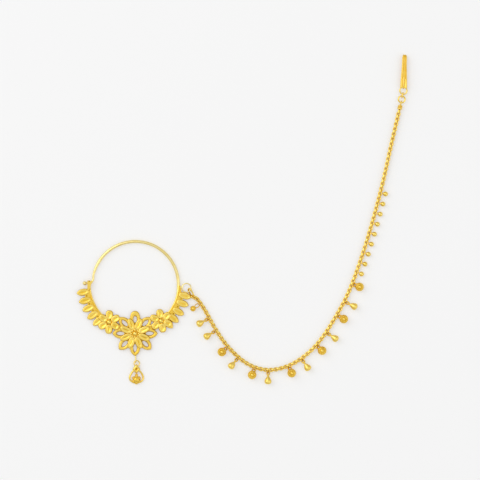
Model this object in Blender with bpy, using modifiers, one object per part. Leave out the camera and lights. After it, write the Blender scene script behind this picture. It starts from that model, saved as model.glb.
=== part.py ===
"""Gold nose pin lying flat: a flowered hoop, a main drop, and a chain with charms to a hair hook.

The origin is the middle of the centre flower's flat back. X runs right, Y up the flower, Z to the front.
"""

import math

import bmesh
import bpy
from mathutils import Matrix, Vector

MM = 0.001

# Clearances
GAP = 0.3 * MM
LINK_GAP = 0.16 * MM
WELD = 0.001 * MM

# Nose wire
HOOP_RADIUS = 17.16 * MM
HOOP_WIRE = 1.2 * MM
HOOP_SHIFT = 0.3 * MM
HOOP_RIGHT = 0.15 * MM
HOOP_LOWER = 0.07 * MM
HOOP_SEGMENTS = 40
HOOP_HEIGHT = 0.8 * MM
WIRE_BLEND = 22.0
BEND_ANGLE = 168.0
TIP_TAPER = 0.9
BEND_STEPS = ((0.06, 2.2), (0.5, 1.0), (1.15, 0.25), (1.85, 0.0))
WIRE_TIP = 0.8 * MM
TIP_BALL = 1.6 * MM

# Lower band and catch
BAND_INNER_RADIUS = 17.44 * MM
BAND_WIDTH = 1.85 * MM
BAND_DEPTH = 1.15 * MM
BAND_BACK = 0.1 * MM
BAND_START = 181.5
BAND_END = 358.5
BAND_NARROW = 0.5
BAND_TAPER = 9.0
BAND_STEPS = 36
RIM_WIRE = 0.6 * MM
CATCH_ARM = 0.6 * MM
CATCH_SEAT = 0.65 * MM
CATCH_WIDTH = 0.85 * MM
CATCH_DEPTH = 1.9 * MM
CATCH_LIP = 0.4 * MM

# Leaves on the band
LEAF_LENGTH = 5.1 * MM
LEAF_WIDTH = 2.8 * MM
LEAF_DEPTH = 1.35 * MM
LEAF_SEAT = 1.05 * MM
LEFT_LEAF_ANGLES = (188.6, 198.8, 208.0, 217.2, 225.8)
RIGHT_LEAF_ANGLES = (347.4, 337.8, 327.6, 318.6, 310.4)
LEAF_LEAN = -3.0
FIRST_LEAF_LEAN = 3.0

# Side flowers
SIDE_FLOWER_ANGLES = (236.4, 306.3)
SIDE_FLOWER_TURNS = (28.0, 40.0)
SIDE_FLOWER_SEAT = 0.75 * MM
SIDE_PETALS = 6
SIDE_PETAL_LENGTH = 3.85 * MM
SIDE_PETAL_WIDTH = 2.75 * MM
SIDE_PETAL_START = 0.85 * MM
SIDE_PETAL_DEPTH = 1.7 * MM
SIDE_BASE_RADIUS = 2.0 * MM
SIDE_BASE_DEPTH = 1.0 * MM
SIDE_BEAD = 1.9 * MM
SIDE_BEAD_HEIGHT = 1.35 * MM

# Centre flower
FLOWER_BELOW_BAND = 1.325 * MM
OUTER_PETALS = 8
OUTER_START = 2.2 * MM
OUTER_REACH = 9.0 * MM
OUTER_WIDTH = 4.15 * MM
OUTER_DEPTH = 1.15 * MM
HOLE_LENGTH = 3.1 * MM
HOLE_WIDTH = 1.6 * MM
HOLE_RADIUS = 5.9 * MM
INNER_START = 1.4 * MM
INNER_REACH = 6.4 * MM
INNER_WIDTH = 2.35 * MM
INNER_DEPTH = 2.1 * MM
FLOWER_BASE_RADIUS = 3.6 * MM
FLOWER_BASE_DEPTH = 0.9 * MM
ROSETTE_BEADS = 8
ROSETTE_RADIUS = 1.45 * MM
ROSETTE_BEAD = 1.0 * MM
ROSETTE_HEIGHT = 1.95 * MM
ROSETTE_DOME = 1.7 * MM

# Main drop
DROP_SHIFT = 0.55 * MM
PETAL_LOOP_LENGTH = 3.25 * MM
PETAL_LOOP_HEIGHT = 1.75 * MM
LOOP_WIRE = 0.42 * MM
LOOP_SEAT = 0.45 * MM
DROP_RING = 2.6 * MM
DROP_RING_SHIFT = 0.7 * MM
BAIL_LENGTH = 1.6 * MM
BAIL_HEIGHT = 1.65 * MM
DROP_BEAD = 3.4 * MM
DROP_BEAD_WIDTH = 2.9 * MM
DROP_BEAD_DEPTH = 1.75 * MM
DROP_BEAD_REACH = 0.87 * MM
FRAME_LENGTH = 6.5 * MM
FRAME_WIDTH = 6.1 * MM
FRAME_WIRE = 0.7 * MM
FRAME_STEPS = 22
FRAME_FULLNESS = 1.272
FRAME_SEAT = 2.0 * MM
CLUSTER_RADIUS = 1.12 * MM
CLUSTER_BEAD = 1.35 * MM
CLUSTER_BEADS = 6
CLUSTER_DOME = 1.8 * MM
TOP_GRANULE = 1.2 * MM
TOP_GRANULE_REACH = 1.85 * MM

# Ring beside the hoop
SIDE_RING = 4.0 * MM
SIDE_RING_ANGLE = 356.0
SIDE_RING_PEG = 0.3 * MM
RING_WIRE = 0.55 * MM
RING_HEIGHT = 0.95 * MM

# Chain, with the few chosen points of its route, measured from the middle of the ring beside the hoop
CHAIN_WIDTH = 1.7 * MM
CHAIN_STEP = 3.4 * MM
CHAIN_ROUTE_MM = (
    (2.68, -3.60), (4.56, -4.84), (7.52, -9.20), (11.26, -15.94), (15.55, -22.29), (20.80, -27.73),
    (26.27, -31.32), (32.74, -32.82), (39.64, -31.56), (46.46, -27.83), (52.94, -21.64), (58.94, -12.74),
    (64.34, -2.74), (69.14, 9.66), (73.94, 24.96), (78.34, 41.56), (81.94, 57.56), (85.14, 71.36),
)
FIRST_LINK_HOLD = -38.0
FIRST_LINK_WIDTH = 2.2 * MM
FIRST_LINK_WIRE = 0.45 * MM
FIRST_LINK_TILT = 55.0

# Charms, by their place as a share of the chain's length
BALL_SHARES = (0.024, 0.147, 0.229, 0.312, 0.395, 0.483, 0.566)
TEARDROP_SHARES = (0.0655, 0.099, 0.183, 0.262, 0.347, 0.434, 0.520)
FIRST_SMALL_SHARE = 0.596
LAST_SMALL_SHARE = 0.795
SMALL_BALLS = 9
BALL_CHARM = 3.4 * MM
FIRST_BALL_CHARM = 2.65 * MM
TEARDROP_LENGTH = 3.6 * MM
TEARDROP_WIDTH = 2.75 * MM
SMALL_BALL = 1.7 * MM
CHARM_LOOP = 0.95 * MM
FIRST_CHARM_LOOP = 1.75 * MM
CHARM_LOOP_WIRE = 0.36 * MM
LOOP_SINK = 0.3 * MM

# Hair end
CAP_LENGTH = 1.5 * MM
CAP_WIDTH = 1.9 * MM
CAP_LOOP = 2.1 * MM
END_RING = 3.2 * MM
HOOK_RING = 3.4 * MM
HOOK_LINK = 2.5 * MM
RING_HEADING = 79.0
HOOK_HEADING = 88.0
HOOK_LENGTH = 13.4 * MM
HOOK_TOP_WIDTH = 1.85 * MM
HOOK_FOOT_WIDTH = 2.8 * MM
HOOK_SHEET = 0.5 * MM
HOOK_THROAT = 0.65 * MM
HOOK_RIDGE = 0.55 * MM
HOOK_RISE = 0.3 * MM
HOOK_SHANK = 4.2 * MM
HOOK_SHANK_WIRE = 0.7 * MM
HOOK_TONGUE_WIDTH = 1.4 * MM
HOOK_TONGUE_SHARE = 0.8

# How blunt (under 1) or pointed (over 1) the base and the tip of each kind of petal are
LEAF_POWERS = (0.62, 1.5)
SIDE_POWERS = (0.8, 0.65)
INNER_POWERS = (0.9, 0.95)
OUTER_POWERS = (0.75, 1.5)
TOP_PETAL_POWERS = (0.8, 0.8)

# Height shares of the cast petals and leaves, by the share of the outline they run round
LEAF_SECTIONS = ((1.00, 0.00), (1.00, 0.68), (0.80, 1.00), (0.60, 0.72))
LEAF_MIDDLE = 0.92
SIDE_SECTIONS = ((1.00, 0.00), (1.00, 0.66), (0.80, 1.00), (0.58, 0.66))
SIDE_MIDDLE = 0.74
INNER_SECTIONS = ((1.00, 0.00), (1.00, 0.70), (0.78, 1.00), (0.52, 0.78))
INNER_MIDDLE = 0.74

BAND_CENTRE = Vector((-HOOP_SHIFT, BAND_INNER_RADIUS + BAND_WIDTH / 2 + FLOWER_BELOW_BAND, 0.0))
HOOP_CENTRE = Vector((HOOP_RIGHT, BAND_CENTRE.y - HOOP_LOWER, 0.0))
BAND_MIDDLE = BAND_INNER_RADIUS + BAND_WIDTH / 2
BAND_OUTER_RADIUS = BAND_INNER_RADIUS + BAND_WIDTH


def polar(centre, radius, degrees, height=0.0):
    """Return the point at an angle and radius round a centre."""
    angle = math.radians(degrees)
    return Vector((centre.x + radius * math.cos(angle), centre.y + radius * math.sin(angle), height))


def clear_scene():
    """Remove whatever the open file holds."""
    for item in list(bpy.data.objects):
        bpy.data.objects.remove(item, do_unlink=True)


def make_collection(name):
    """Add a collection to the scene."""
    collection = bpy.data.collections.new(name)
    bpy.context.scene.collection.children.link(collection)
    return collection


def make_gold():
    """Return the one metal that every piece is made of."""
    gold = bpy.data.materials.new("yellow_gold")
    gold.use_nodes = True
    shader = gold.node_tree.nodes["Principled BSDF"]
    shader.inputs["Base Color"].default_value = (0.86, 0.54, 0.09, 1.0)
    shader.inputs["Metallic"].default_value = 1.0
    shader.inputs["Roughness"].default_value = 0.25
    return gold


clear_scene()
PART = make_collection("nose_pin")
GOLD = make_gold()


def link_mesh(name, mesh):
    """Put a mesh into the part's collection as an object of that name."""
    piece = bpy.data.objects.new(name, mesh)
    PART.objects.link(piece)
    return piece


def clean(mesh):
    """Weld what touches and turn every face outward."""
    work = bmesh.new()
    work.from_mesh(mesh)
    bmesh.ops.remove_doubles(work, verts=work.verts, dist=WELD)
    bmesh.ops.recalc_face_normals(work, faces=work.faces)
    work.to_mesh(mesh)
    work.free()


def as_mesh(piece):
    """Swap a curve, or an object with modifiers, for the plain mesh that it evaluates to."""
    name = piece.name
    matrix = piece.matrix_world.copy()
    evaluated = piece.evaluated_get(bpy.context.evaluated_depsgraph_get())
    mesh = bpy.data.meshes.new_from_object(evaluated)
    bpy.data.objects.remove(piece, do_unlink=True)
    clean(mesh)
    result = link_mesh(name, mesh)
    result.matrix_world = matrix
    return result


def wire(name, points, diameter, closed=False, radii=None, sides=8):
    """Make a round wire along the points, thinner where radii gives a share under 1."""
    curve = bpy.data.curves.new(name, "CURVE")
    curve.dimensions = "3D"
    curve.bevel_depth = diameter / 2
    curve.bevel_resolution = (sides - 4) // 2
    curve.use_fill_caps = True
    spline = curve.splines.new("POLY")
    spline.points.add(len(points) - 1)
    for index, point in enumerate(points):
        spline.points[index].co = (point[0], point[1], point[2], 1.0)
        spline.points[index].radius = radii[index] if radii else 1.0
    spline.use_cyclic_u = closed
    return as_mesh(link_mesh(name, curve))


def turned(name, profile, sides):
    """Turn a profile of radius and height, from its top down, round the Z axis."""
    mesh = bpy.data.meshes.new(name)
    points = [(radius, 0.0, height) for radius, height in profile]
    mesh.from_pydata(points, [(index, index + 1) for index in range(len(points) - 1)], [])
    piece = link_mesh(name, mesh)
    screw = piece.modifiers.new("turn", "SCREW")
    screw.steps = sides
    screw.render_steps = sides
    screw.use_merge_vertices = True
    screw.merge_threshold = WELD
    return as_mesh(piece)


def ball(name, diameter, sides=10, squash=1.0):
    """Make a round bead, flatter in Z where squash is under 1."""
    mesh = bpy.data.meshes.new(name)
    work = bmesh.new()
    flatten = Matrix.Diagonal((1.0, 1.0, squash, 1.0))
    bmesh.ops.create_uvsphere(work, u_segments=sides, v_segments=sides // 2 + 1, radius=diameter / 2,
                              matrix=flatten)
    work.to_mesh(mesh)
    work.free()
    return link_mesh(name, mesh)


def disc(name, radius, depth, sides=20):
    """Make a flat round plate that stands on its own origin."""
    mesh = bpy.data.meshes.new(name)
    work = bmesh.new()
    bmesh.ops.create_cone(work, cap_ends=True, segments=sides, radius1=radius, radius2=radius, depth=depth,
                          matrix=Matrix.Translation((0.0, 0.0, depth / 2)))
    work.to_mesh(mesh)
    work.free()
    return link_mesh(name, mesh)


def box(name, low, high):
    """Make a block between two corners."""
    mesh = bpy.data.meshes.new(name)
    work = bmesh.new()
    size = Vector(high) - Vector(low)
    middle = (Vector(high) + Vector(low)) / 2
    bmesh.ops.create_cube(work, size=1.0, matrix=Matrix.Translation(middle) @ Matrix.Diagonal((*size, 1.0)))
    work.to_mesh(mesh)
    work.free()
    return link_mesh(name, mesh)


def loft(name, rings, ring_shaped=False, middle=None):
    """Join rings of points into a solid, closed by flat ends, a raised middle point, or on itself."""
    mesh = bpy.data.meshes.new(name)
    work = bmesh.new()
    rows = [[work.verts.new(point) for point in ring] for ring in rings]
    pairs = list(zip(rows, rows[1:]))
    if ring_shaped:
        pairs.append((rows[-1], rows[0]))
    count = len(rows[0])
    for lower, upper in pairs:
        for index in range(count):
            after = (index + 1) % count
            work.faces.new((lower[index], lower[after], upper[after], upper[index]))
    if not ring_shaped:
        work.faces.new(list(reversed(rows[0])))
        if middle is None:
            work.faces.new(rows[-1])
        else:
            tip = work.verts.new(middle)
            for index in range(count):
                work.faces.new((rows[-1][index], rows[-1][(index + 1) % count], tip))
    bmesh.ops.recalc_face_normals(work, faces=work.faces)
    work.to_mesh(mesh)
    work.free()
    return link_mesh(name, mesh)


def oval(start, length, width, share, height, half_points, base_power, tip_power):
    """Return an oval along +X, drawn in towards its middle by the share.

    A power under 1 makes that end blunt, and one over 1 makes it pointed.
    """
    middle = start + length / 2
    ring = []
    for index in range(2 * half_points):
        turn = math.pi * index / half_points
        power = base_power + (tip_power - base_power) * (1.0 + math.cos(turn)) / 2
        across = abs(math.sin(turn)) ** power * math.copysign(1.0, math.sin(turn))
        ring.append((middle + share * length / 2 * math.cos(turn), share * width / 2 * across, height))
    return ring


def cast_petal(name, start, length, width, depth, sections, middle_share, half_points, powers):
    """Make a solid petal with a raised rim round a dished face."""
    rings = [oval(start, length, width, share, depth * rise, half_points, *powers)
             for share, rise in sections]
    return loft(name, rings, middle=(start + length / 2, 0.0, depth * middle_share))


def solder(name, pieces):
    """Join overlapping pieces into one solid and give it the metal."""
    first, rest = pieces[0], pieces[1:]
    if rest:
        operands = bpy.data.collections.new(name + "_joined")
        for piece in rest:
            operands.objects.link(piece)
        union = first.modifiers.new("solder", "BOOLEAN")
        union.operation = "UNION"
        union.solver = "EXACT"
        union.operand_type = "COLLECTION"
        union.collection = operands
        bpy.context.view_layer.update()
        result = as_mesh(first)
        for piece in rest:
            bpy.data.objects.remove(piece, do_unlink=True)
        bpy.data.collections.remove(operands)
    else:
        result = first
    result.data.transform(result.matrix_world)
    result.matrix_world = Matrix()
    result.name = name
    result.data.name = name
    result.data.materials.clear()
    result.data.materials.append(GOLD)
    result.data.shade_smooth()
    result.data.set_sharp_from_angle(angle=math.radians(40.0))
    return result


def place(piece, location, heading=0.0, tilt=0.0):
    """Turn a piece about its own X axis by tilt, to a heading in the plane, and move it."""
    turn = Matrix.Rotation(math.radians(heading), 4, "Z") @ Matrix.Rotation(math.radians(tilt), 4, "X")
    piece.matrix_world = Matrix.Translation(location) @ turn
    return piece


def link_outline(length, width, wire_width, steps=5):
    """Return the middle line of a long link in the XY plane, with its length along X."""
    radius = (width - wire_width) / 2
    straight = max(0.0, (length - width) / 2)
    points = []
    for centre, first in ((straight, -90.0), (-straight, 90.0)):
        for index in range(steps + 1):
            angle = math.radians(first + 180.0 * index / steps)
            points.append((centre + radius * math.cos(angle), radius * math.sin(angle), 0.0))
    return points


def round_ring(name, diameter, wire_width, steps=12, sides=6):
    """Make a round wire ring of an outer diameter in the XY plane."""
    radius = (diameter - wire_width) / 2
    points = [(radius * math.cos(math.tau * index / steps), radius * math.sin(math.tau * index / steps), 0.0)
              for index in range(steps)]
    return wire(name, points, wire_width, closed=True, sides=sides)


def nose_wire():
    """Return the hoop wire, its bent free end and the ball on it."""
    join_angle = BAND_END - 360.0 - WIRE_BLEND
    points = []
    radii = []
    for index in range(HOOP_SEGMENTS + 1):
        share = index / HOOP_SEGMENTS
        angle = join_angle + (BEND_ANGLE - join_angle) * share
        blend = max(0.0, (BAND_END - 360.0 - angle) / WIRE_BLEND)
        point = polar(HOOP_CENTRE, HOOP_RADIUS, angle, HOOP_HEIGHT)
        on_rim = polar(BAND_CENTRE, BAND_INNER_RADIUS + RIM_WIRE / 2, angle, BAND_DEPTH - BAND_BACK)
        points.append(point.lerp(on_rim, blend))
        thinning = max(0.0, (share - TIP_TAPER) / (1.0 - TIP_TAPER))
        radii.append(1.0 - (1.0 - WIRE_TIP / HOOP_WIRE) * thinning - (1.0 - RIM_WIRE / HOOP_WIRE) * blend)
    end_y = catch_y()
    corner_x = points[-1].x
    tip_x = catch_left() - GAP - TIP_BALL / 4
    for across, up in BEND_STEPS:
        points.append(Vector((corner_x - across * WIRE_TIP, end_y + up * WIRE_TIP, HOOP_HEIGHT)))
    points.append(Vector((tip_x, end_y, HOOP_HEIGHT)))
    radii += [WIRE_TIP / HOOP_WIRE] * (len(BEND_STEPS) + 1)
    hoop = wire("nose_wire", points, HOOP_WIRE, radii=radii)
    tip = place(ball("wire_ball", TIP_BALL), (tip_x - TIP_BALL / 4, end_y, HOOP_HEIGHT))
    return [hoop, tip]


def catch_y():
    """Return the place along Y at which the free end passes through the catch."""
    return BAND_CENTRE.y + WIRE_TIP / 2


def catch_left():
    """Return the left side of the catch's arm."""
    return BAND_CENTRE.x - BAND_INNER_RADIUS - CATCH_SEAT - CATCH_ARM


def band_width(angle):
    """Return the width of the band, which narrows towards both ends."""
    from_end = min(angle - BAND_START, BAND_END - angle)
    return BAND_WIDTH * min(1.0, BAND_NARROW + (1.0 - BAND_NARROW) * from_end / BAND_TAPER)


def band():
    """Return the band with its inner rim wire."""
    rings = []
    inner = BAND_INNER_RADIUS + RIM_WIRE / 3
    for index in range(BAND_STEPS + 1):
        angle = BAND_START + (BAND_END - BAND_START) * index / BAND_STEPS
        outer = BAND_INNER_RADIUS + band_width(angle)
        rings.append([
            polar(BAND_CENTRE, inner, angle, BAND_BACK),
            polar(BAND_CENTRE, outer, angle, BAND_BACK),
            polar(BAND_CENTRE, outer, angle, BAND_DEPTH),
            polar(BAND_CENTRE, inner, angle, BAND_DEPTH),
        ])
    strip = loft("band_strip", rings)
    rim_points = [polar(BAND_CENTRE, BAND_INNER_RADIUS + RIM_WIRE / 2,
                        BAND_START + (BAND_END - BAND_START) * index / BAND_STEPS, BAND_DEPTH)
                  for index in range(BAND_STEPS + 1)]
    return [strip, wire("band_rim", rim_points, RIM_WIRE, sides=6)]


def catch():
    """Return the catch at the band's free end: a bridge over the wire, open at the back."""
    left = catch_left()
    right = left + CATCH_ARM
    half_slot = WIRE_TIP / 2 + GAP
    middle = catch_y()
    foot = polar(BAND_CENTRE, BAND_OUTER_RADIUS, BAND_START + 5.0).y
    roof = HOOP_HEIGHT + WIRE_TIP / 2 + GAP
    stem = box("catch_stem", (left, foot, BAND_BACK * 1.5), (right, middle - half_slot, CATCH_DEPTH))
    top = middle + half_slot + CATCH_LIP
    corners = ((left, top), (left, foot), (right, foot - CATCH_LIP),
               (right + CATCH_WIDTH * 0.5, foot + CATCH_LIP),
               (right + CATCH_WIDTH * 1.5, top - CATCH_LIP / 2), (right + CATCH_WIDTH, top - CATCH_LIP / 4),
               (right + CATCH_WIDTH * 0.4, top - CATCH_LIP * 1.2), (right, top))
    bridge = loft("catch_plate", [[(x, y, height) for x, y in corners]
                                  for height in (roof, CATCH_DEPTH + BAND_BACK / 2)])
    lip = box("catch_lip", (left, middle + half_slot, BAND_BACK * 1.5), (right, top, CATCH_DEPTH))
    return [stem, bridge, lip]


def leaves():
    """Return the leaves that fan out from both ends of the band."""
    pieces = []
    for angles, side in ((LEFT_LEAF_ANGLES, 1.0), (RIGHT_LEAF_ANGLES, -1.0)):
        for angle in angles:
            lean = side * (FIRST_LEAF_LEAN if angle == angles[0] else LEAF_LEAN)
            leaf = cast_petal("leaf", 0.0, LEAF_LENGTH, LEAF_WIDTH, LEAF_DEPTH, LEAF_SECTIONS,
                              LEAF_MIDDLE, 5, LEAF_POWERS)
            seat = polar(BAND_CENTRE, BAND_OUTER_RADIUS - LEAF_SEAT, angle, BAND_BACK / 2)
            pieces.append(place(leaf, seat, angle + lean))
    return pieces


def side_flower(angle, turn):
    """Return one side flower of cupped petals round a bead."""
    centre = polar(BAND_CENTRE, BAND_INNER_RADIUS + SIDE_FLOWER_SEAT, angle)
    pieces = [place(disc("side_base", SIDE_BASE_RADIUS, SIDE_BASE_DEPTH, 12), centre)]
    for index in range(SIDE_PETALS):
        petal = cast_petal("side_petal", SIDE_PETAL_START, SIDE_PETAL_LENGTH, SIDE_PETAL_WIDTH,
                           SIDE_PETAL_DEPTH, SIDE_SECTIONS, SIDE_MIDDLE, 5, SIDE_POWERS)
        lift = Vector((0.0, 0.0, BAND_BACK / 4))
        pieces.append(place(petal, centre + lift, turn + 360.0 * index / SIDE_PETALS))
    bead = ball("side_bead", SIDE_BEAD)
    pieces.append(place(bead, centre + Vector((0.0, 0.0, SIDE_BEAD_HEIGHT))))
    return pieces


def outer_petal(index):
    """Return one pierced petal of the centre flower."""
    length = OUTER_REACH - OUTER_START
    hole_start = HOLE_RADIUS - HOLE_LENGTH / 2
    powers = TOP_PETAL_POWERS if index == 0 else OUTER_POWERS
    shoulder = OUTER_DEPTH * 0.7
    rings = [
        oval(OUTER_START, length, OUTER_WIDTH, 1.0, 0.0, 7, *powers),
        oval(OUTER_START, length, OUTER_WIDTH, 1.0, shoulder, 7, *powers),
        oval(OUTER_START, length, OUTER_WIDTH, 0.86, OUTER_DEPTH, 7, *powers),
        oval(hole_start, HOLE_LENGTH, HOLE_WIDTH, 1.0, shoulder, 7, *powers),
        oval(hole_start, HOLE_LENGTH, HOLE_WIDTH, 1.0, 0.0, 7, *powers),
    ]
    petal = loft("outer_petal", rings, ring_shaped=True)
    lift = BAND_BACK / 2 * (1 + index % 2)
    return place(petal, (0.0, 0.0, lift), 360.0 * index / OUTER_PETALS + 90.0)


def centre_flower():
    """Return the centre flower: base, pierced and solid petals, and the beaded rosette."""
    pieces = [disc("flower_base", FLOWER_BASE_RADIUS, FLOWER_BASE_DEPTH, 16)]
    for index in range(OUTER_PETALS):
        pieces.append(outer_petal(index))
        petal = cast_petal("inner_petal", INNER_START, INNER_REACH - INNER_START, INNER_WIDTH,
                           INNER_DEPTH, INNER_SECTIONS, INNER_MIDDLE, 5, INNER_POWERS)
        heading = 360.0 * (index + 0.5) / OUTER_PETALS + 90.0
        pieces.append(place(petal, (0.0, 0.0, BAND_BACK * 1.5), heading))
    for index in range(ROSETTE_BEADS):
        bead = ball("rosette_bead", ROSETTE_BEAD, 8)
        angle = 360.0 * index / ROSETTE_BEADS
        pieces.append(place(bead, polar(Vector(), ROSETTE_RADIUS, angle, ROSETTE_HEIGHT)))
    dome_height = ROSETTE_HEIGHT + ROSETTE_BEAD / 8
    pieces.append(place(ball("rosette_dome", ROSETTE_DOME, 10), (0.0, 0.0, dome_height)))
    pieces.append(place(disc("rosette_stem", ROSETTE_RADIUS, ROSETTE_HEIGHT, 12), (0.0, 0.0, BAND_BACK)))
    return pieces


def petal_loop_centre():
    """Return the middle of the loop under the lowest petal."""
    return Vector((DROP_SHIFT / 2, -OUTER_REACH + LOOP_SEAT - PETAL_LOOP_LENGTH / 2, PETAL_LOOP_HEIGHT / 2))


def petal_loop():
    """Return the upright loop soldered under the lowest petal."""
    outline = link_outline(PETAL_LOOP_LENGTH, PETAL_LOOP_HEIGHT, LOOP_WIRE, 4)
    loop = wire("petal_loop", outline, LOOP_WIRE, closed=True, sides=6)
    return [place(loop, petal_loop_centre(), -90.0, 90.0)]


def side_ring_centre():
    """Return the middle of the ring beside the hoop."""
    radius = BAND_INNER_RADIUS + band_width(SIDE_RING_ANGLE) + SIDE_RING_PEG + SIDE_RING / 2
    return polar(BAND_CENTRE, radius, SIDE_RING_ANGLE, RING_HEIGHT)


def side_ring():
    """Return the ring beside the hoop and the peg that solders it on."""
    ring = place(round_ring("side_ring", SIDE_RING, RING_WIRE), side_ring_centre())
    start = polar(BAND_CENTRE, BAND_INNER_RADIUS + RING_WIRE, SIDE_RING_ANGLE, RING_HEIGHT - BAND_BACK * 1.5)
    reach = band_width(SIDE_RING_ANGLE) + SIDE_RING_PEG + RING_WIRE / 2
    end = polar(BAND_CENTRE, BAND_INNER_RADIUS + reach, SIDE_RING_ANGLE, RING_HEIGHT - BAND_BACK * 1.5)
    return [ring, wire("side_peg", [start, end], RING_WIRE * 1.3, sides=6)]


def nath_front():
    """Build the soldered front: hoop, band, catch, leaves, flowers and fixed loops."""
    pieces = centre_flower() + band() + catch() + nose_wire() + leaves()
    for angle, turn in zip(SIDE_FLOWER_ANGLES, SIDE_FLOWER_TURNS):
        pieces += side_flower(angle, turn)
    pieces += petal_loop() + side_ring()
    solder("nath_front", pieces)


def drop_ring_centre():
    """Return the middle of the loose ring that hangs in the petal loop."""
    loop = petal_loop_centre()
    loop_end = loop.y - PETAL_LOOP_LENGTH / 2 + LOOP_WIRE
    held_at = math.sqrt(((DROP_RING - LOOP_WIRE) / 2) ** 2 - (DROP_RING_SHIFT - loop.x) ** 2)
    return Vector((DROP_RING_SHIFT, loop_end + LINK_GAP * 1.5 + LOOP_WIRE / 2 - held_at, loop.z))


def main_drop():
    """Build the drop ring, then the square bead, wire frame and cluster as one solid."""
    ring_centre = drop_ring_centre()
    solder("drop_ring", [place(round_ring("ring", DROP_RING, LOOP_WIRE), ring_centre)])

    bail_top = ring_centre.y - DROP_RING / 2 + LOOP_WIRE + LINK_GAP + LOOP_WIRE
    bail_centre = Vector((DROP_SHIFT, bail_top - BAIL_LENGTH / 2, ring_centre.z))
    bail_outline = link_outline(BAIL_LENGTH, BAIL_HEIGHT, LOOP_WIRE, 4)
    bail = place(wire("bail", bail_outline, LOOP_WIRE, closed=True, sides=6), bail_centre, -90.0, 90.0)

    under_ring = ring_centre.y - DROP_RING / 2 - LINK_GAP
    over_ring = (ring_centre.z + LOOP_WIRE / 2 + LINK_GAP) / DROP_BEAD_DEPTH
    bead_centre = Vector((DROP_SHIFT, under_ring + DROP_BEAD_REACH - DROP_BEAD / 2, 0.0))
    rings = []
    for share, rise, top in ((1.00, 0.10, under_ring), (1.00, over_ring, under_ring),
                             (1.00, over_ring + 0.02, None), (0.62, 1.00, None), (0.30, 1.00, None)):
        ring = []
        for angle, stretch in zip(range(0, 360, 45), (1.0, 0.78) * 4):
            turn = math.radians(angle)
            x = bead_centre.x + share * stretch * DROP_BEAD_WIDTH / 2 * math.cos(turn)
            y = bead_centre.y + share * stretch * DROP_BEAD / 2 * math.sin(turn)
            ring.append(Vector((x, y if top is None else min(y, top), rise * DROP_BEAD_DEPTH)))
        rings.append(ring)
    bead = loft("drop_bead", rings, middle=bead_centre + Vector((0.0, 0.0, DROP_BEAD_DEPTH * 0.7)))

    frame_top = bead_centre.y - DROP_BEAD / 2 + FRAME_SEAT
    frame_points = []
    for index in range(FRAME_STEPS):
        turn = math.tau * index / FRAME_STEPS
        narrowing = math.sin(turn / 2) ** 0.9 * FRAME_FULLNESS
        frame_points.append((
            DROP_SHIFT + (FRAME_WIDTH - FRAME_WIRE) / 2 * math.sin(turn) * narrowing,
            frame_top - (FRAME_LENGTH - FRAME_WIRE) * (1.0 - math.cos(turn)) / 2,
            FRAME_WIRE / 2 + BAND_BACK,
        ))
    frame = wire("drop_frame", frame_points, FRAME_WIRE, closed=True, sides=6)

    cluster_centre = Vector((DROP_SHIFT, frame_top - FRAME_LENGTH + CLUSTER_RADIUS + CLUSTER_BEAD / 2
                             + FRAME_WIRE / 4, 0.0))
    pieces = [bead, bail, frame]
    for index in range(CLUSTER_BEADS):
        granule = ball("granule", CLUSTER_BEAD, 8)
        angle = 360.0 * index / CLUSTER_BEADS + 90.0
        pieces.append(place(granule, polar(cluster_centre, CLUSTER_RADIUS, angle, CLUSTER_BEAD / 2)))
    top_place = polar(cluster_centre, TOP_GRANULE_REACH, 90.0, CLUSTER_BEAD / 2)
    pieces.append(place(ball("granule", TOP_GRANULE, 8), top_place))
    dome = ball("cluster_dome", CLUSTER_DOME, 10)
    pieces.append(place(dome, cluster_centre + Vector((0.0, 0.0, CLUSTER_DOME / 2 + BAND_BACK))))
    solder("main_drop", pieces)


def smooth_route():
    """Return points on a smooth curve through the chain's chosen points, close together."""
    ring = side_ring_centre()
    chosen = [Vector((ring.x + x * MM, ring.y + y * MM, CHAIN_WIDTH / 2)) for x, y in CHAIN_ROUTE_MM]
    padded = [2 * chosen[0] - chosen[1]] + chosen + [2 * chosen[-1] - chosen[-2]]
    points = []
    for before, start, end, after in zip(padded, padded[1:], padded[2:], padded[3:]):
        for step in range(24):
            t = step / 24
            points.append(0.5 * (2 * start + (end - before) * t
                                 + (2 * before - 5 * start + 4 * end - after) * t * t
                                 + (3 * start - before - 3 * end + after) * t * t * t))
    points.append(chosen[-1])
    return points


ROUTE = smooth_route()
ROUTE_STEPS = [(after - before).length for before, after in zip(ROUTE, ROUTE[1:])]
ROUTE_LENGTH = sum(ROUTE_STEPS)


def on_route(distance):
    """Return the point at a distance along the chain, and the direction there."""
    left = distance
    for start, end, step in zip(ROUTE, ROUTE[1:], ROUTE_STEPS):
        if left <= step:
            return start.lerp(end, left / step), (end - start).normalized()
        left -= step
    return ROUTE[-1], (ROUTE[-1] - ROUTE[-2]).normalized()


def chain():
    """Build the chain's tube."""
    count = round(ROUTE_LENGTH / CHAIN_STEP)
    points = [on_route(ROUTE_LENGTH * index / count)[0] for index in range(count + 1)]
    solder("chain", [wire("chain", points, CHAIN_WIDTH)])


def first_link():
    """Build the long link from the ring beside the hoop to the chain."""
    held_at = polar(side_ring_centre(), (SIDE_RING - RING_WIRE) / 2, FIRST_LINK_HOLD)
    along = on_route(0.0)[0] - held_at
    along.z = 0.0
    heading = math.degrees(math.atan2(along.y, along.x))
    inside = RING_WIRE / 2 + LINK_GAP * 2.5 + FIRST_LINK_WIRE
    length = along.length - GAP + inside
    middle = held_at + along.normalized() * (length / 2 - inside)
    middle.z = RING_HEIGHT
    outline = link_outline(length, FIRST_LINK_WIDTH, FIRST_LINK_WIRE, 5)
    link = wire("first_link", outline, FIRST_LINK_WIRE, closed=True, sides=6)
    solder("chain_first_link", [place(link, middle, heading, FIRST_LINK_TILT)])


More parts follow.
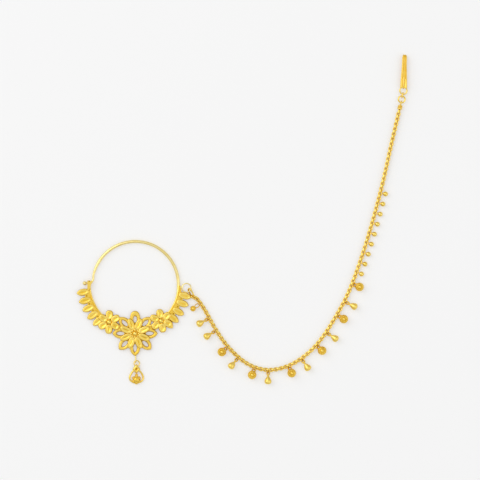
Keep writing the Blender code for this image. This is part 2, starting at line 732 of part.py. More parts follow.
def beside_chain(share, offset, height):
    """Return the point beside the chain, on its outer side, and the heading away from it."""
    point, direction = on_route(ROUTE_LENGTH * share)
    outward = Vector((direction.y, -direction.x, 0.0))
    heading = math.degrees(math.atan2(outward.y, outward.x))
    place_there = point + outward * offset
    place_there.z = height
    return place_there, heading


def charm_loop(start, diameter):
    """Return the small upright loop of a charm, whose near side is at start on the X axis."""
    loop = round_ring("charm_loop", diameter, CHARM_LOOP_WIRE, 8, 6)
    return place(loop, (start + diameter / 2, 0.0, 0.0), 0.0, 90.0)


def charm(name, share, body, height, loop=CHARM_LOOP):
    """Join a charm's body to its loop and set it beside the chain."""
    piece = solder(name, [body, charm_loop(CHAIN_WIDTH / 2 + GAP, loop)])
    location, heading = beside_chain(share, 0.0, height)
    place(piece, location, heading)


def lay_down(piece, start):
    """Lay a turned piece with its top at start on the X axis and its foot further out."""
    piece.matrix_world = Matrix.Translation((start, 0.0, 0.0)) @ Matrix.Rotation(math.radians(-90.0), 4, "Y")
    return piece


def teardrops():
    """Build the small drops: a turned body that widens from its neck."""
    body_start = CHAIN_WIDTH / 2 + GAP + CHARM_LOOP - LOOP_SINK
    radius = TEARDROP_WIDTH / 2
    shares = ((0.0, 0.0), (0.24, 0.04), (0.36, 0.14), (0.70, 0.38), (0.92, 0.58), (1.0, 0.70), (0.90, 0.85),
              (0.52, 0.97), (0.0, 1.0))
    profile = [(radius * wide, -TEARDROP_LENGTH * down) for wide, down in shares]
    for number, share in enumerate(TEARDROP_SHARES, 1):
        body = lay_down(turned("drop_body", profile, 10), body_start)
        charm("teardrop_%d" % number, share, body, radius)


def ball_charms():
    """Build the round charms."""
    for number, share in enumerate(BALL_SHARES, 1):
        diameter = FIRST_BALL_CHARM if number == 1 else BALL_CHARM
        loop = FIRST_CHARM_LOOP if number == 1 else CHARM_LOOP
        centre = CHAIN_WIDTH / 2 + GAP + loop - 2 * LOOP_SINK + diameter / 2
        body = place(ball("ball_body", diameter, 12, 0.8), (centre, 0.0, 0.0))
        charm("ball_charm_%d" % number, share, body, diameter * 0.4, loop)


def small_balls():
    """Build the row of small plain balls, each with a short neck to the chain."""
    start = CHAIN_WIDTH / 2 + GAP
    neck = LOOP_SINK
    for index in range(SMALL_BALLS):
        share = FIRST_SMALL_SHARE + (LAST_SMALL_SHARE - FIRST_SMALL_SHARE) * index / (SMALL_BALLS - 1)
        radius = SMALL_BALL / 2
        profile = [(0.0, 0.0), (CHARM_LOOP_WIRE, 0.0), (CHARM_LOOP_WIRE, -neck / 2)]
        for step in range(1, 6):
            angle = math.pi * step / 6
            profile.append((radius * math.sin(angle), -neck / 2 - radius * (1.0 - math.cos(angle))))
        profile.append((0.0, -neck / 2 - SMALL_BALL))
        body = solder("small_ball_%d" % (index + 1), [turned("small_ball", profile, 10)])
        location, heading = beside_chain(share, start, CHAIN_WIDTH / 2 + LINK_GAP)
        turn = Matrix.Rotation(math.radians(heading), 4, "Z") @ Matrix.Rotation(math.radians(-90.0), 4, "Y")
        body.matrix_world = Matrix.Translation(location) @ turn


def hook_section(middle, out, width, ridge):
    """Return the sheet's section: flat behind, with a raised edge on both sides in front."""
    half = width / 2
    inner = half - HOOK_RIDGE
    sheet = HOOK_SHEET / 2
    shape = ((-half, -sheet), (half, -sheet), (half, sheet + ridge), (inner, sheet + ridge),
             (inner * 0.8, sheet), (-inner * 0.8, sheet), (-inner, sheet + ridge), (-half, sheet + ridge))
    return [middle + Vector((0.0, across, 0.0)) + out * rise for across, rise in shape]


def hook_strip():
    """Return the sheet of the hook: front leg, fold and tongue, lofted along its side view."""
    fold = (HOOK_THROAT + HOOK_SHEET) / 2
    front = HOOK_SHEET * 1.5 + HOOK_THROAT
    straight = HOOK_LENGTH - fold - HOOK_SHEET / 2 - HOOK_RISE
    path = []
    for index in range(5):
        share = index / 4
        width = HOOK_FOOT_WIDTH + (HOOK_TOP_WIDTH - HOOK_FOOT_WIDTH) * min(1.0, share / 0.75)
        path.append((straight * share, front, 90.0, width, HOOK_RISE))
    for index in range(1, 6):
        angle = 90.0 - 180.0 * index / 6
        width = HOOK_TOP_WIDTH + (HOOK_TONGUE_WIDTH - HOOK_TOP_WIDTH) * index / 6
        path.append((straight + fold * math.cos(math.radians(angle)),
                     front - fold + fold * math.sin(math.radians(angle)), angle, width,
                     HOOK_RISE * (1.0 - index / 6)))
    for share in (1.0, 1.0 - HOOK_TONGUE_SHARE):
        path.append((straight * share, HOOK_SHEET / 2, -90.0, HOOK_TONGUE_WIDTH, 0.0))
    rings = []
    for along, height, angle, width, ridge in path:
        out = Vector((math.cos(math.radians(angle)), 0.0, math.sin(math.radians(angle))))
        rings.append(hook_section(Vector((along, 0.0, height)), out, width, ridge))
    return loft("hook_strip", rings)


def hair_end():
    """Build the cap, rings and hook at the hair end, each hung in the one before."""
    chain_end, direction = on_route(ROUTE_LENGTH)
    cap_start = chain_end + direction * GAP
    heading = math.degrees(math.atan2(direction.y, direction.x))
    cap_height = max(CAP_WIDTH, CAP_LOOP) / 2
    cap_start.z = cap_height
    profile = ((0.0, 0.0), (0.30, 0.0), (0.34, -0.25), (0.5, -0.35), (0.5, -0.6), (0.4, -0.68), (0.5, -0.76),
               (0.5, -1.0), (0.0, -1.0))
    cap_body = turned("cap_body", [(CAP_WIDTH * wide, CAP_LENGTH * down) for wide, down in profile], 12)
    turn = Matrix.Rotation(math.radians(heading), 4, "Z") @ Matrix.Rotation(math.radians(90.0), 4, "Y")
    cap_body.matrix_world = Matrix.Translation(cap_start + direction * CAP_LENGTH) @ turn
    loop_centre = cap_start + direction * (CAP_LENGTH + CAP_LOOP / 2 - LOOP_SINK)
    cap_loop = place(round_ring("cap_loop", CAP_LOOP, LOOP_WIRE), loop_centre, heading, 90.0)
    solder("chain_end_cap", [cap_body, cap_loop])

    forward = polar(Vector(), 1.0, RING_HEADING)
    ring_centre = loop_centre + forward * (CAP_LOOP / 2 - LOOP_WIRE - LINK_GAP - RING_WIRE + END_RING / 2)
    solder("end_ring", [place(round_ring("ring", END_RING, RING_WIRE), ring_centre)])

    link_start = ring_centre + forward * (END_RING / 2 - RING_WIRE - LINK_GAP - LOOP_WIRE)
    link_middle = link_start + forward * (HOOK_LINK / 2)
    link_shape = link_outline(HOOK_LINK, CAP_LOOP, LOOP_WIRE, 5)
    link = wire("link", link_shape, LOOP_WIRE, closed=True, sides=6)
    solder("hook_link", [place(link, link_middle, RING_HEADING, 90.0)])

    link_end = link_start + forward * (HOOK_LINK - LOOP_WIRE - LINK_GAP - RING_WIRE)
    hook_ring_centre = link_end + forward * (HOOK_RING / 2)
    hook_ring = place(round_ring("hook_ring", HOOK_RING, RING_WIRE), hook_ring_centre)
    hook_forward = polar(Vector(), 1.0, HOOK_HEADING)
    foot = hook_ring_centre + hook_forward * (HOOK_RING / 2 - RING_WIRE)
    foot.z = 0.0
    pieces = [place(hook_strip(), foot, HOOK_HEADING)]
    face = HOOK_SHEET * 2 + HOOK_THROAT
    shank = wire("hook_shank", [(-RING_WIRE / 2, 0.0, ring_centre.z), (HOOK_SHANK * 0.15, 0.0, face),
                                (HOOK_SHANK, 0.0, face)], HOOK_SHANK_WIRE, sides=6)
    pieces += [place(shank, foot, HOOK_HEADING), hook_ring]
    solder("hair_hook", pieces)


nath_front()
main_drop()
first_link()
chain()
teardrops()
ball_charms()
small_balls()
hair_end()
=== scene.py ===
"""Looks of the gold nose pin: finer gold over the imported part, real chain links, light and camera.

All of it rides on the one body, in the part's frame: X runs right, Y up the flower, Z to the front.
"""

import math
import random

import bmesh
import bpy
from mathutils import Matrix, Vector


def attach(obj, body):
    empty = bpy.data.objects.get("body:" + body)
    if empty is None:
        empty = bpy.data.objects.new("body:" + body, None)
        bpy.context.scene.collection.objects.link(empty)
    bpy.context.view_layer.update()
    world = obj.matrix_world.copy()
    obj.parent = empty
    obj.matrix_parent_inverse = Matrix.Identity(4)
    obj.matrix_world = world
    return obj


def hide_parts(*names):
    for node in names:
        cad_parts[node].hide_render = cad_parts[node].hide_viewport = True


MM = 0.001
BODY = "root"
SEED = 7

# Sizes shared with the part
GAP = 0.3 * MM
LINK_GAP = 0.16 * MM
HOOP_RADIUS = 17.16 * MM
HOOP_WIRE = 1.2 * MM
HOOP_SHIFT = 0.3 * MM
HOOP_RIGHT = 0.15 * MM
HOOP_LOWER = 0.07 * MM
HOOP_HEIGHT = 0.8 * MM
WIRE_BLEND = 22.0
BEND_ANGLE = 168.0
TIP_TAPER = 0.9
BEND_STEPS = ((0.06, 2.2), (0.5, 1.0), (1.15, 0.25), (1.85, 0.0))
WIRE_TIP = 0.8 * MM
TIP_BALL = 1.6 * MM
BAND_INNER_RADIUS = 17.44 * MM
BAND_WIDTH = 1.85 * MM
BAND_DEPTH = 1.15 * MM
BAND_BACK = 0.1 * MM
SEAT_BACK = BAND_BACK * 1.5
BAND_START = 181.5
BAND_END = 358.5
BAND_NARROW = 0.5
BAND_TAPER = 9.0
# Tone of painted shade on the band
BAND_TONE = 0.42
RIM_WIRE = 0.6 * MM
CATCH_ARM = 0.6 * MM
CATCH_SEAT = 0.65 * MM
CATCH_WIDTH = 0.85 * MM
CATCH_DEPTH = 1.9 * MM
CATCH_LIP = 0.4 * MM
CATCH_FOOT_ANGLE = 5.0
CATCH_NOTCH = ((1.5, 0.5), (1.0, 0.25), (0.4, 1.2))
CATCH_PIT_DOWN = 0.7
# Tones of painted shade, darker below and lighter on top, for the catch's bridge and for blocks
CATCH_TONES = (0.5, 0.25)
BLOCK_TONES = (0.4, 0.0)
LEAF_LENGTH = 5.1 * MM
LEAF_WIDTH = 2.8 * MM
LEAF_DEPTH = 1.35 * MM
LEAF_SEAT = 1.05 * MM
LEFT_LEAF_ANGLES = (188.6, 198.8, 208.0, 217.2, 225.8)
RIGHT_LEAF_ANGLES = (347.4, 337.8, 327.6, 318.6, 310.4)
LEAF_LEAN = -3.0
FIRST_LEAF_LEAN = 3.0
SIDE_FLOWER_ANGLES = (236.4, 306.3)
SIDE_FLOWER_TURNS = (28.0, 40.0)
SIDE_FLOWER_SEAT = 0.75 * MM
SIDE_PETALS = 6
SIDE_PETAL_LENGTH = 3.85 * MM
SIDE_PETAL_START = 0.85 * MM
SIDE_PETAL_DEPTH = 1.7 * MM
SIDE_BASE_RADIUS = 2.0 * MM
SIDE_BASE_DEPTH = 1.0 * MM
SIDE_BEAD_HEIGHT = 1.35 * MM
FLOWER_BELOW_BAND = 1.325 * MM
OUTER_PETALS = 8
OUTER_START = 2.2 * MM
OUTER_REACH = 9.0 * MM
OUTER_WIDTH = 4.15 * MM
OUTER_DEPTH = 1.15 * MM
HOLE_LENGTH = 3.1 * MM
HOLE_RADIUS = 5.9 * MM
INNER_START = 1.4 * MM
INNER_REACH = 6.4 * MM
INNER_DEPTH = 2.1 * MM
FLOWER_BASE_RADIUS = 3.6 * MM
FLOWER_BASE_DEPTH = 0.9 * MM
ROSETTE_BEADS = 8
ROSETTE_RADIUS = 1.45 * MM
ROSETTE_BEAD = 1.0 * MM
ROSETTE_HEIGHT = 1.95 * MM
DROP_SHIFT = 0.55 * MM
PETAL_LOOP_LENGTH = 3.25 * MM
PETAL_LOOP_HEIGHT = 1.75 * MM
LOOP_WIRE = 0.42 * MM
LOOP_SEAT = 0.45 * MM
DROP_RING = 2.6 * MM
DROP_RING_SHIFT = 0.7 * MM
BAIL_LENGTH = 1.6 * MM
BAIL_HEIGHT = 1.65 * MM
DROP_BEAD = 3.4 * MM
DROP_BEAD_WIDTH = 2.9 * MM
DROP_BEAD_DEPTH = 1.75 * MM
DROP_BEAD_REACH = 0.87 * MM
FRAME_LENGTH = 6.5 * MM
FRAME_WIDTH = 6.1 * MM
FRAME_WIRE = 0.7 * MM
FRAME_FULLNESS = 1.272
FRAME_SEAT = 2.0 * MM
CLUSTER_RADIUS = 1.12 * MM
CLUSTER_BEAD = 1.35 * MM
CLUSTER_BEADS = 6
TOP_GRANULE = 1.2 * MM
TOP_GRANULE_REACH = 1.85 * MM
SIDE_RING = 4.0 * MM
SIDE_RING_ANGLE = 356.0
SIDE_RING_PEG = 0.3 * MM
RING_WIRE = 0.55 * MM
RING_HEIGHT = 0.95 * MM
PEG_WIRE = RING_WIRE * 1.3
CHAIN_WIDTH = 1.7 * MM
FIRST_LINK_HOLD = -38.0
FIRST_LINK_WIDTH = 2.2 * MM
FIRST_LINK_WIRE = 0.45 * MM
BALL_SHARES = (0.024, 0.147, 0.229, 0.312, 0.395, 0.483, 0.566)
TEARDROP_SHARES = (0.0655, 0.099, 0.183, 0.262, 0.347, 0.434, 0.520)
FIRST_SMALL_SHARE = 0.596
LAST_SMALL_SHARE = 0.795
SMALL_BALLS = 9
BALL_CHARM = 3.4 * MM
FIRST_BALL_CHARM = 2.65 * MM
BALL_SQUASH = 0.8
TEARDROP_LENGTH = 3.6 * MM
TEARDROP_WIDTH = 2.75 * MM
SMALL_BALL = 1.7 * MM
CHARM_LOOP = 0.95 * MM
FIRST_CHARM_LOOP = 1.75 * MM
LOOP_SINK = 0.3 * MM
CAP_LENGTH = 1.5 * MM
CAP_WIDTH = 1.9 * MM
CAP_LOOP = 2.1 * MM
END_RING = 3.2 * MM
HOOK_RING = 3.4 * MM
HOOK_LINK = 2.5 * MM
RING_HEADING = 79.0
HOOK_HEADING = 88.0
HOOK_LENGTH = 13.4 * MM
HOOK_TOP_WIDTH = 1.85 * MM
HOOK_FOOT_WIDTH = 2.8 * MM
HOOK_SHEET = 0.5 * MM
HOOK_THROAT = 0.65 * MM
HOOK_RIDGE = 0.55 * MM
HOOK_RISE = 0.3 * MM
HOOK_SHANK = 4.2 * MM
HOOK_SHANK_WIRE = 0.7 * MM
HOOK_TONGUE_WIDTH = 1.4 * MM
HOOK_TONGUE_SHARE = 0.8

# Route of the chain in metres, from the middle of the ring beside the hoop
CHAIN_ROUTE = (
    (0.00268, -0.00360), (0.00456, -0.00484), (0.00752, -0.00920), (0.01126, -0.01594),
    (0.01555, -0.02229), (0.02080, -0.02773), (0.02627, -0.03132), (0.03274, -0.03282),
    (0.03964, -0.03156), (0.04646, -0.02783), (0.05294, -0.02164), (0.05894, -0.01274),
    (0.06434, -0.00274), (0.06914, 0.00966), (0.07394, 0.02496), (0.07834, 0.04156),
    (0.08194, 0.05756), (0.08514, 0.07136),
)

# Finer sizes than the part's, and tones of painted shade for the flower bases and petal roots
SIDE_BEAD_BROAD = 2.15 * MM
SIDE_BASE_TONE = 0.4
SIDE_PETAL_BROAD = 3.05 * MM
INNER_BROAD = 2.8 * MM
HOLE_FINE = 1.45 * MM
TOP_HOLE_LENGTH = 2.55 * MM
OUTER_ROOT = 4.6 * MM
OUTER_ROOT_LENGTH = 0.9 * MM
OUTER_ROOT_DROP = 0.25
OUTER_ROOT_TONE = 0.7
FLOWER_BASE_TONE = 0.8
ROSETTE_DOME_BROAD = 1.9 * MM
CLUSTER_FULLER = 1.1
CLUSTER_FILL = 2.6 * MM
CLUSTER_SQUASH = 0.78
CLUSTER_GRAINS = (22, 0.38 * MM)
TOP_GRAINS = (20, 0.36 * MM)
FILL_GRAINS = (70, 0.40 * MM)
SIDE_RING_FINE = 0.44 * MM
FIRST_LINK_TILT = 45.0
FIRST_LINK_BROAD = 0.62 * MM
BALL_FULLER = 1.05
FIRST_BALL_FULLER = 0.9
SMALL_BALL_BROAD = 1.95 * MM
SMALL_NECK = 0.8 * MM
SMALL_NECK_GAP = 0.12 * MM

# Links of the chain
LINK_LENGTH = 1.98 * MM
LINK_WIDTH = 1.78 * MM
LINK_PITCH = 1.02 * MM
LINK_THICK = 0.48 * MM
LINK_BROAD = 0.74 * MM
CHAIN_LIFT = 0.05 * MM
LINK_ROLL = -22.0
TWIST_LINKS = 8
LINK_POWER = 0.62
LINK_LOOSE = 4.0
# Painted shade on the inner side of each link
LINK_INSIDE_TONE = 0.45
FIRST_LINK_ROOM = LINK_GAP * 2.5

# Rings of the charms, tucked under the raised side of the links
CHARM_RING_START = 0.72 * MM
CHARM_RING_LOW = 0.34 * MM
CHARM_RING_WIRE = 0.62 * MM
BALL_RING = 1.75 * MM
DROP_CHARM_RING = 1.50 * MM
DROP_CHARM_OUT = 0.3 * MM
DROP_CHARM_HOLD = 0.05 * MM
FIRST_RING_WIRE = 0.36 * MM

# Dark discs of painted shadow that stand for pits, lumps at the roots of the leaves with a tone of painted
# shade, and the slant of the petals
PIT = 0.62 * MM
PIT_RISE = 0.02 * MM
FLOWER_PIT_RADIUS = 2.75 * MM
ROOT_RADIUS = 0.75 * MM
ROOT_OUT = 0.3 * MM
ROOT_TONE = 0.3
SLANT = 0.07

# Grains: how far they sink into their core, the painted shade tone of the core between them, how loosely they
# lie, and the turn from each to the next
GRAIN_SINK = 0.3
GRAIN_CORE_TONE = 0.3
GRAIN_TURN = 2.39996
GRAIN_LOOSE = 0.12
GRAIN_SMALLEST = 0.9

# Square bead and frame of the main drop. A row of the bead has its width, its height as shares of the
# height over the loose ring and of the bead's own, whether the ring cuts it flat, and its tone of painted
# shade.
BEAD_PROFILE = (
    (1.0, 0.0, 0.1, True, 0.9), (1.0, 0.6, 0.0, True, 0.7), (1.0, 1.0, 0.0, True, 0.5),
    (1.0, 1.0, 0.02, False, 0.3), (0.94, 1.0, 0.12, False, 0.0), (0.78, 0.0, 0.95, False, 0.0),
    (0.6, 0.0, 1.0, False, 0.0), (0.42, 0.0, 0.98, False, 0.1), (0.3, 0.0, 0.9, False, 0.4),
    (0.2, 0.0, 0.76, False, 0.7),
)
BEAD_MIDDLE = 0.7
# Painted shade in the sunk middle of the bead
BEAD_MIDDLE_TONE = 0.75
BEAD_SIDE = 0.79
BEAD_CORNER = 0.21
BEAD_CORNER_POWER = 1.3
FRAME_POWER = 0.9

# Charms: a teardrop's profile as shares of its half width and length, and a ball charm's face as shares
TEARDROP_PROFILE = (
    (0.0, 0.0), (0.17, 0.003), (0.19, 0.03), (0.24, 0.08), (0.33, 0.14), (0.45, 0.21), (0.58, 0.29),
    (0.78, 0.42), (0.88, 0.51), (0.95, 0.59), (0.99, 0.66), (1.0, 0.71), (0.98, 0.78), (0.92, 0.84),
    (0.82, 0.89), (0.67, 0.935), (0.48, 0.97), (0.25, 0.993), (0.0, 1.0),
)
# Painted shade on a charm's ring: a tone all round, and more on its inner side
CHARM_RING_TONES = (0.3, 0.8)
BALL_GRAINS = 90
BALL_GRAIN = 0.42 * MM
FACE_PLATE = 0.34
PLATE_DEPTH = 0.08 * MM
PLATE_RISE = 0.92
# Painted shade on the plate under a ball charm's dome
PLATE_TONE = 0.7
FACE_DOME = 0.38
DOME_SQUASH = 0.7
DOME_RISE = 0.97
FACE_BEADS = 9
FACE_BEAD = 0.15
FACE_BEAD_REACH = 0.29
FACE_BEAD_RISE = 0.88

# Hair end: turned cap as shares of its width and length, and the hook's sheet
CAP_PROFILE = (
    (0.0, 0.0), (0.28, 0.0), (0.32, -0.06), (0.34, -0.2), (0.44, -0.24), (0.5, -0.32), (0.5, -0.4),
    (0.44, -0.47), (0.38, -0.5), (0.44, -0.53), (0.5, -0.6), (0.5, -0.68), (0.44, -0.75),
    (0.38, -0.78), (0.44, -0.81), (0.5, -0.88), (0.5, -1.12), (0.45, -1.22), (0.0, -1.22),
)
HOOK_EVEN_FROM = 0.75
HOOK_FOLD_WIDTH = HOOK_TOP_WIDTH * 0.95
HOOK_WAIST = HOOK_TOP_WIDTH * 0.2
RIDGE_OUTSIDE = 0.6
RIDGE_SOFT = 0.25
GROOVE_SOFT = 0.2
GROOVE = 0.8
# Painted shade across the hook's section, one tone a point: darkest at the outer edges, lightest on the inner
# tops of the ridges
HOOK_TONES = (0.5, 0.5, 0.6, 0.3, 0.1, 0.35, 0.35, 0.1, 0.3, 0.6)
SHANK_SHARES = (0.15, 0.4, 1.0)

# Petals: points on a half outline, powers at the root and tip, and rows of relief with a tone of painted
# shade, dark on the steep walls and a little dark in the groove
PETAL_POINTS = 16
LEAF_POWERS = (0.62, 1.5)
SIDE_POWERS = (0.95, 0.65)
INNER_POWERS = (0.9, 0.95)
OUTER_POINTS = 18
OUTER_POWERS = (0.75, 1.5)
TOP_PETAL_POWERS = (0.8, 0.8)
LEAF_RELIEF = (
    (1.0, 1.0, 0.0, 1.0), (1.0, 1.0, 0.45, 1.0), (0.985, 0.97, 0.72, 0.8), (0.955, 0.925, 0.88, 0.35),
    (0.92, 0.87, 0.96, 0.05), (0.86, 0.77, 1.0, 0.0), (0.78, 0.62, 1.0, 0.0), (0.7, 0.45, 0.97, 0.0),
    (0.62, 0.27, 0.92, 0.2), (0.55, 0.13, 0.9, 0.4), (0.47, 0.04, 0.9, 0.4),
)
LEAF_MIDDLE = 0.9
SIDE_RELIEF = (
    (1.0, 1.0, 0.0, 1.0), (1.0, 1.0, 0.4, 1.0), (0.985, 0.975, 0.66, 0.8), (0.955, 0.93, 0.84, 0.4),
    (0.9, 0.87, 0.95, 0.05), (0.8, 0.77, 1.0, 0.0), (0.68, 0.62, 1.0, 0.0), (0.56, 0.45, 0.97, 0.0),
    (0.46, 0.28, 0.92, 0.15), (0.38, 0.15, 0.88, 0.4), (0.3, 0.05, 0.87, 0.5),
)
SIDE_MIDDLE = 0.87
INNER_RELIEF = (
    (1.0, 1.0, 0.0, 1.0), (1.0, 1.0, 0.5, 1.0), (0.99, 0.97, 0.76, 0.8), (0.965, 0.93, 0.88, 0.4),
    (0.935, 0.88, 0.955, 0.05), (0.88, 0.8, 0.99, 0.0), (0.78, 0.64, 1.0, 0.0), (0.66, 0.44, 0.99, 0.0),
    (0.55, 0.24, 0.96, 0.05), (0.47, 0.11, 0.93, 0.4), (0.4, 0.03, 0.91, 0.7),
)
INNER_MIDDLE = 0.91
OUTER_RELIEF = (
    (0.0, 0.0, 1.0), (0.0, 0.55, 0.95), (0.04, 0.78, 0.7), (0.11, 0.92, 0.35), (0.2, 0.98, 0.2),
    (0.34, 1.0, 0.15), (0.52, 0.99, 0.15), (0.7, 0.96, 0.2), (0.84, 0.9, 0.35), (0.94, 0.8, 0.6),
    (1.0, 0.6, 0.9), (1.0, 0.0, 1.0),
)

# Places worked out from the sizes
BAND_CENTRE = Vector((-HOOP_SHIFT, BAND_INNER_RADIUS + BAND_WIDTH / 2 + FLOWER_BELOW_BAND, 0.0))
HOOP_CENTRE = Vector((HOOP_RIGHT, BAND_CENTRE.y - HOOP_LOWER, 0.0))
BAND_OUTER_RADIUS = BAND_INNER_RADIUS + BAND_WIDTH
CATCH_LEFT = BAND_CENTRE.x - BAND_INNER_RADIUS - CATCH_SEAT - CATCH_ARM
CATCH_Y = BAND_CENTRE.y + WIRE_TIP / 2
LOOP_Y = -OUTER_REACH + LOOP_SEAT - PETAL_LOOP_LENGTH / 2
LOOP_CENTRE = Vector((DROP_SHIFT / 2, LOOP_Y, PETAL_LOOP_HEIGHT / 2))

# Gold with painted shade, darker and rougher in its hollows and on steep walls, with a soft mottle and fine
# dents
# SHADE is the colour of the deepest painted shade
SHADE = (0.46, 0.26, 0.012)
EDGE_TINT = (0.80, 0.70, 0.35)
HALF_SHADE_STOP = 0.65
MOTTLE_SCALE = 420.0
MOTTLE_DETAIL = 3.0
MOTTLE_RANGE = {"From Min": 0.35, "From Max": 0.65, "To Min": -0.08, "To Max": 0.2}
ROUGHER = 0.18
DENT_DETAIL = 2.0
DENT_DEPTH = 0.05 * MM

# Camera, floor and light
VIEW_CENTRE = Vector((0.04196, 0.03736, 0.0))
VIEW_WIDTH = 0.192
CAMERA_HEIGHT = 1.1
SENSOR = 36.0
CLIP = (0.01, 10.0)
FLOOR_REACH = 2.0
FLOOR_DROP = 0.02 * MM
FLOOR_TONE = 0.60
FLOOR_GLOW = 0.36
ROOM_LEVELS = ((0.0, 0.5), (0.25, 0.5), (0.6, 0.58), (0.85, 0.8), (1.0, 0.88))
LIGHTS = (
    ("left_softbox", Vector((-0.8, 0.5, 0.85)), 1.2, 5.6),
    ("right_fill", Vector((0.9, -0.2, 0.7)), 1.0, 2.0),
)


def polar(centre, radius, degrees, height=0.0):
    """Return the point at an angle and radius round a centre."""
    angle = math.radians(degrees)
    return Vector((centre.x + radius * math.cos(angle), centre.y + radius * math.sin(angle), height))


def at(location, heading=0.0, tilt=0.0):
    """Return the matrix that tilts about X, turns to a heading and moves."""
    turn = Matrix.Rotation(math.radians(heading), 4, "Z") @ Matrix.Rotation(math.radians(tilt), 4, "X")
    return Matrix.Translation(location) @ turn


def moved(shape, matrix):
    """Return a shape moved by a matrix."""
    points, faces, tones = shape
    return [matrix @ point for point in points], faces, tones


def toned(shape, tone):
    """Return a shape with one tone of painted shade all over."""
    points, faces, _ = shape
    return points, faces, [tone] * len(points)


def on_curve(before, start, end, after, t, lead=1.0):
    """Return the point at a share of the way on the smooth curve from start to end."""
    leaving = (end - before) * 0.5 * lead
    arriving = (after - start) * 0.5
    return (start * (2 * t ** 3 - 3 * t * t + 1) + leaving * (t ** 3 - 2 * t * t + t)
            + end * (3 * t * t - 2 * t ** 3) + arriving * (t ** 3 - t * t))


def loft(rings, tones, ring_shaped=False, middle=None, middle_tone=0.0):
    """Join rings of points, closed by flat ends, a middle point, or on themselves."""
    count = len(rings[0])
    points = [Vector(point) for ring in rings for point in ring]
    shades = [tone for tone in tones for _ in range(count)]
    rows = range(len(rings))
    pairs = list(zip(rows, rows[1:])) + ([(rows[-1], 0)] if ring_shaped else [])
    faces = []
    for lower, upper in pairs:
        for index in range(count):
            after = (index + 1) % count
            faces.append((lower * count + index, lower * count + after,
                          upper * count + after, upper * count + index))
    if not ring_shaped:
        faces.append(tuple(reversed(range(count))))
        last = rows[-1] * count
        if middle is None:
            faces.append(tuple(range(last, last + count)))
        else:
            points.append(Vector(middle))
            shades.append(middle_tone)
            faces += [(last + index, last + (index + 1) % count, len(points) - 1) for index in range(count)]
    return points, faces, shades


def wire(path, diameter, closed=False, radii=None, sides=12, flat=1.0, tone=0.0, inside=0.0):
    """Sweep a round or flattened section along a path that keeps near the XY plane."""
    path = [Vector(point) for point in path]
    count = len(path)
    rings = []
    for index, point in enumerate(path):
        before = path[index - 1] if index or closed else point
        after = path[(index + 1) % count] if index + 1 < count or closed else point
        along = (after - before).normalized()
        side = along.cross(Vector((0.0, 0.0, 1.0))).normalized()
        up = side.cross(along)
        radius = diameter / 2 * (radii[index] if radii else 1.0)
        rings.append([
            point + side * radius * math.cos(math.tau * step / sides)
            + up * radius * flat * math.sin(math.tau * step / sides)
            for step in range(sides)
        ])
    points, faces, _ = loft(rings, [tone] * count, ring_shaped=closed)
    # Painted shade: darker by inside towards the inner side of the section
    around = [tone + inside * max(0.0, -math.cos(math.tau * step / sides)) for step in range(sides)]
    return points, faces, around * count


def round_points(count, half_length, half_width, height=0.0, power=1.0):
    """Return points on a round outline about the Z axis, squarer with a lower power."""
    spots = []
    for step in range(count):
        turn = math.tau * step / count
        x, y = [half * math.copysign(abs(share) ** power, share)
                for half, share in ((half_length, math.cos(turn)), (half_width, math.sin(turn)))]
        spots.append(Vector((x, y, height)))
    return spots


def turned(profile, sides):
    """Turn a profile of radius and height, from its top down, round the Z axis."""
    rings = [round_points(sides, radius, radius, height) for radius, height in profile if radius > 0.0]
    points, faces, shades = loft(rings, [0.0] * len(rings))
    faces = [face for face in faces if len(face) == 4]
    for (_, height), row in ((profile[0], 0), (profile[-1], len(rings) - 1)):
        points.append(Vector((0.0, 0.0, height)))
        shades.append(shades[row * sides])
        hub = len(points) - 1
        faces += [(row * sides + step, row * sides + (step + 1) % sides, hub) for step in range(sides)]
    return points, faces, shades


def ball(diameter, sides=20, squash=1.0, tone=0.0):
    """Make a round bead about its own middle."""
    rows = sides // 2
    radius = diameter / 2
    profile = [(0.0, radius * squash)]
    profile += [(radius * math.sin(math.pi * row / rows), radius * squash * math.cos(math.pi * row / rows))
                for row in range(1, rows)]
    profile.append((0.0, -radius * squash))
    return toned(turned(profile, sides), tone)


def pit_shadow(spot):
    """Return a dark little disc of painted shadow that lies on a face, where a pit would be in shade."""
    return moved(disc(PIT / 2, PIT_RISE, sides=14, tone=1.0), Matrix.Translation(spot))


def disc(radius, depth, sides=40, tone=0.6):
    """Make a flat round plate with a softened rim, standing on its own origin, with a tone of painted shade.
    """
    rim = ((0.0, 1.0), (0.93, 1.0), (0.98, 0.93), (1.0, 0.8), (1.0, 0.0), (0.0, 0.0))
    return toned(turned([(radius * wide, depth * high) for wide, high in rim], sides), tone)


def box(low, high):
    """Make a block between two corners."""
    corners = ((low[0], low[1]), (high[0], low[1]), (high[0], high[1]), (low[0], high[1]))
    return loft([[(x, y, height) for x, y in corners] for height in (low[2], high[2])], BLOCK_TONES)


def oval(start, length, width, shares, height, half_points, base_power, tip_power):
    """Return an oval along +X, drawn in towards its middle by the shares of its length and width."""
    middle = start + length / 2
    ring = []
    for index in range(2 * half_points):
        turn = math.pi * index / half_points
        power = base_power + (tip_power - base_power) * (1.0 + math.cos(turn)) / 2
        across = abs(math.sin(turn)) ** power * math.copysign(1.0, math.sin(turn))
        ring.append(Vector((middle + shares[0] * length / 2 * math.cos(turn), shares[1] * width / 2 * across,
                            height)))
    return ring


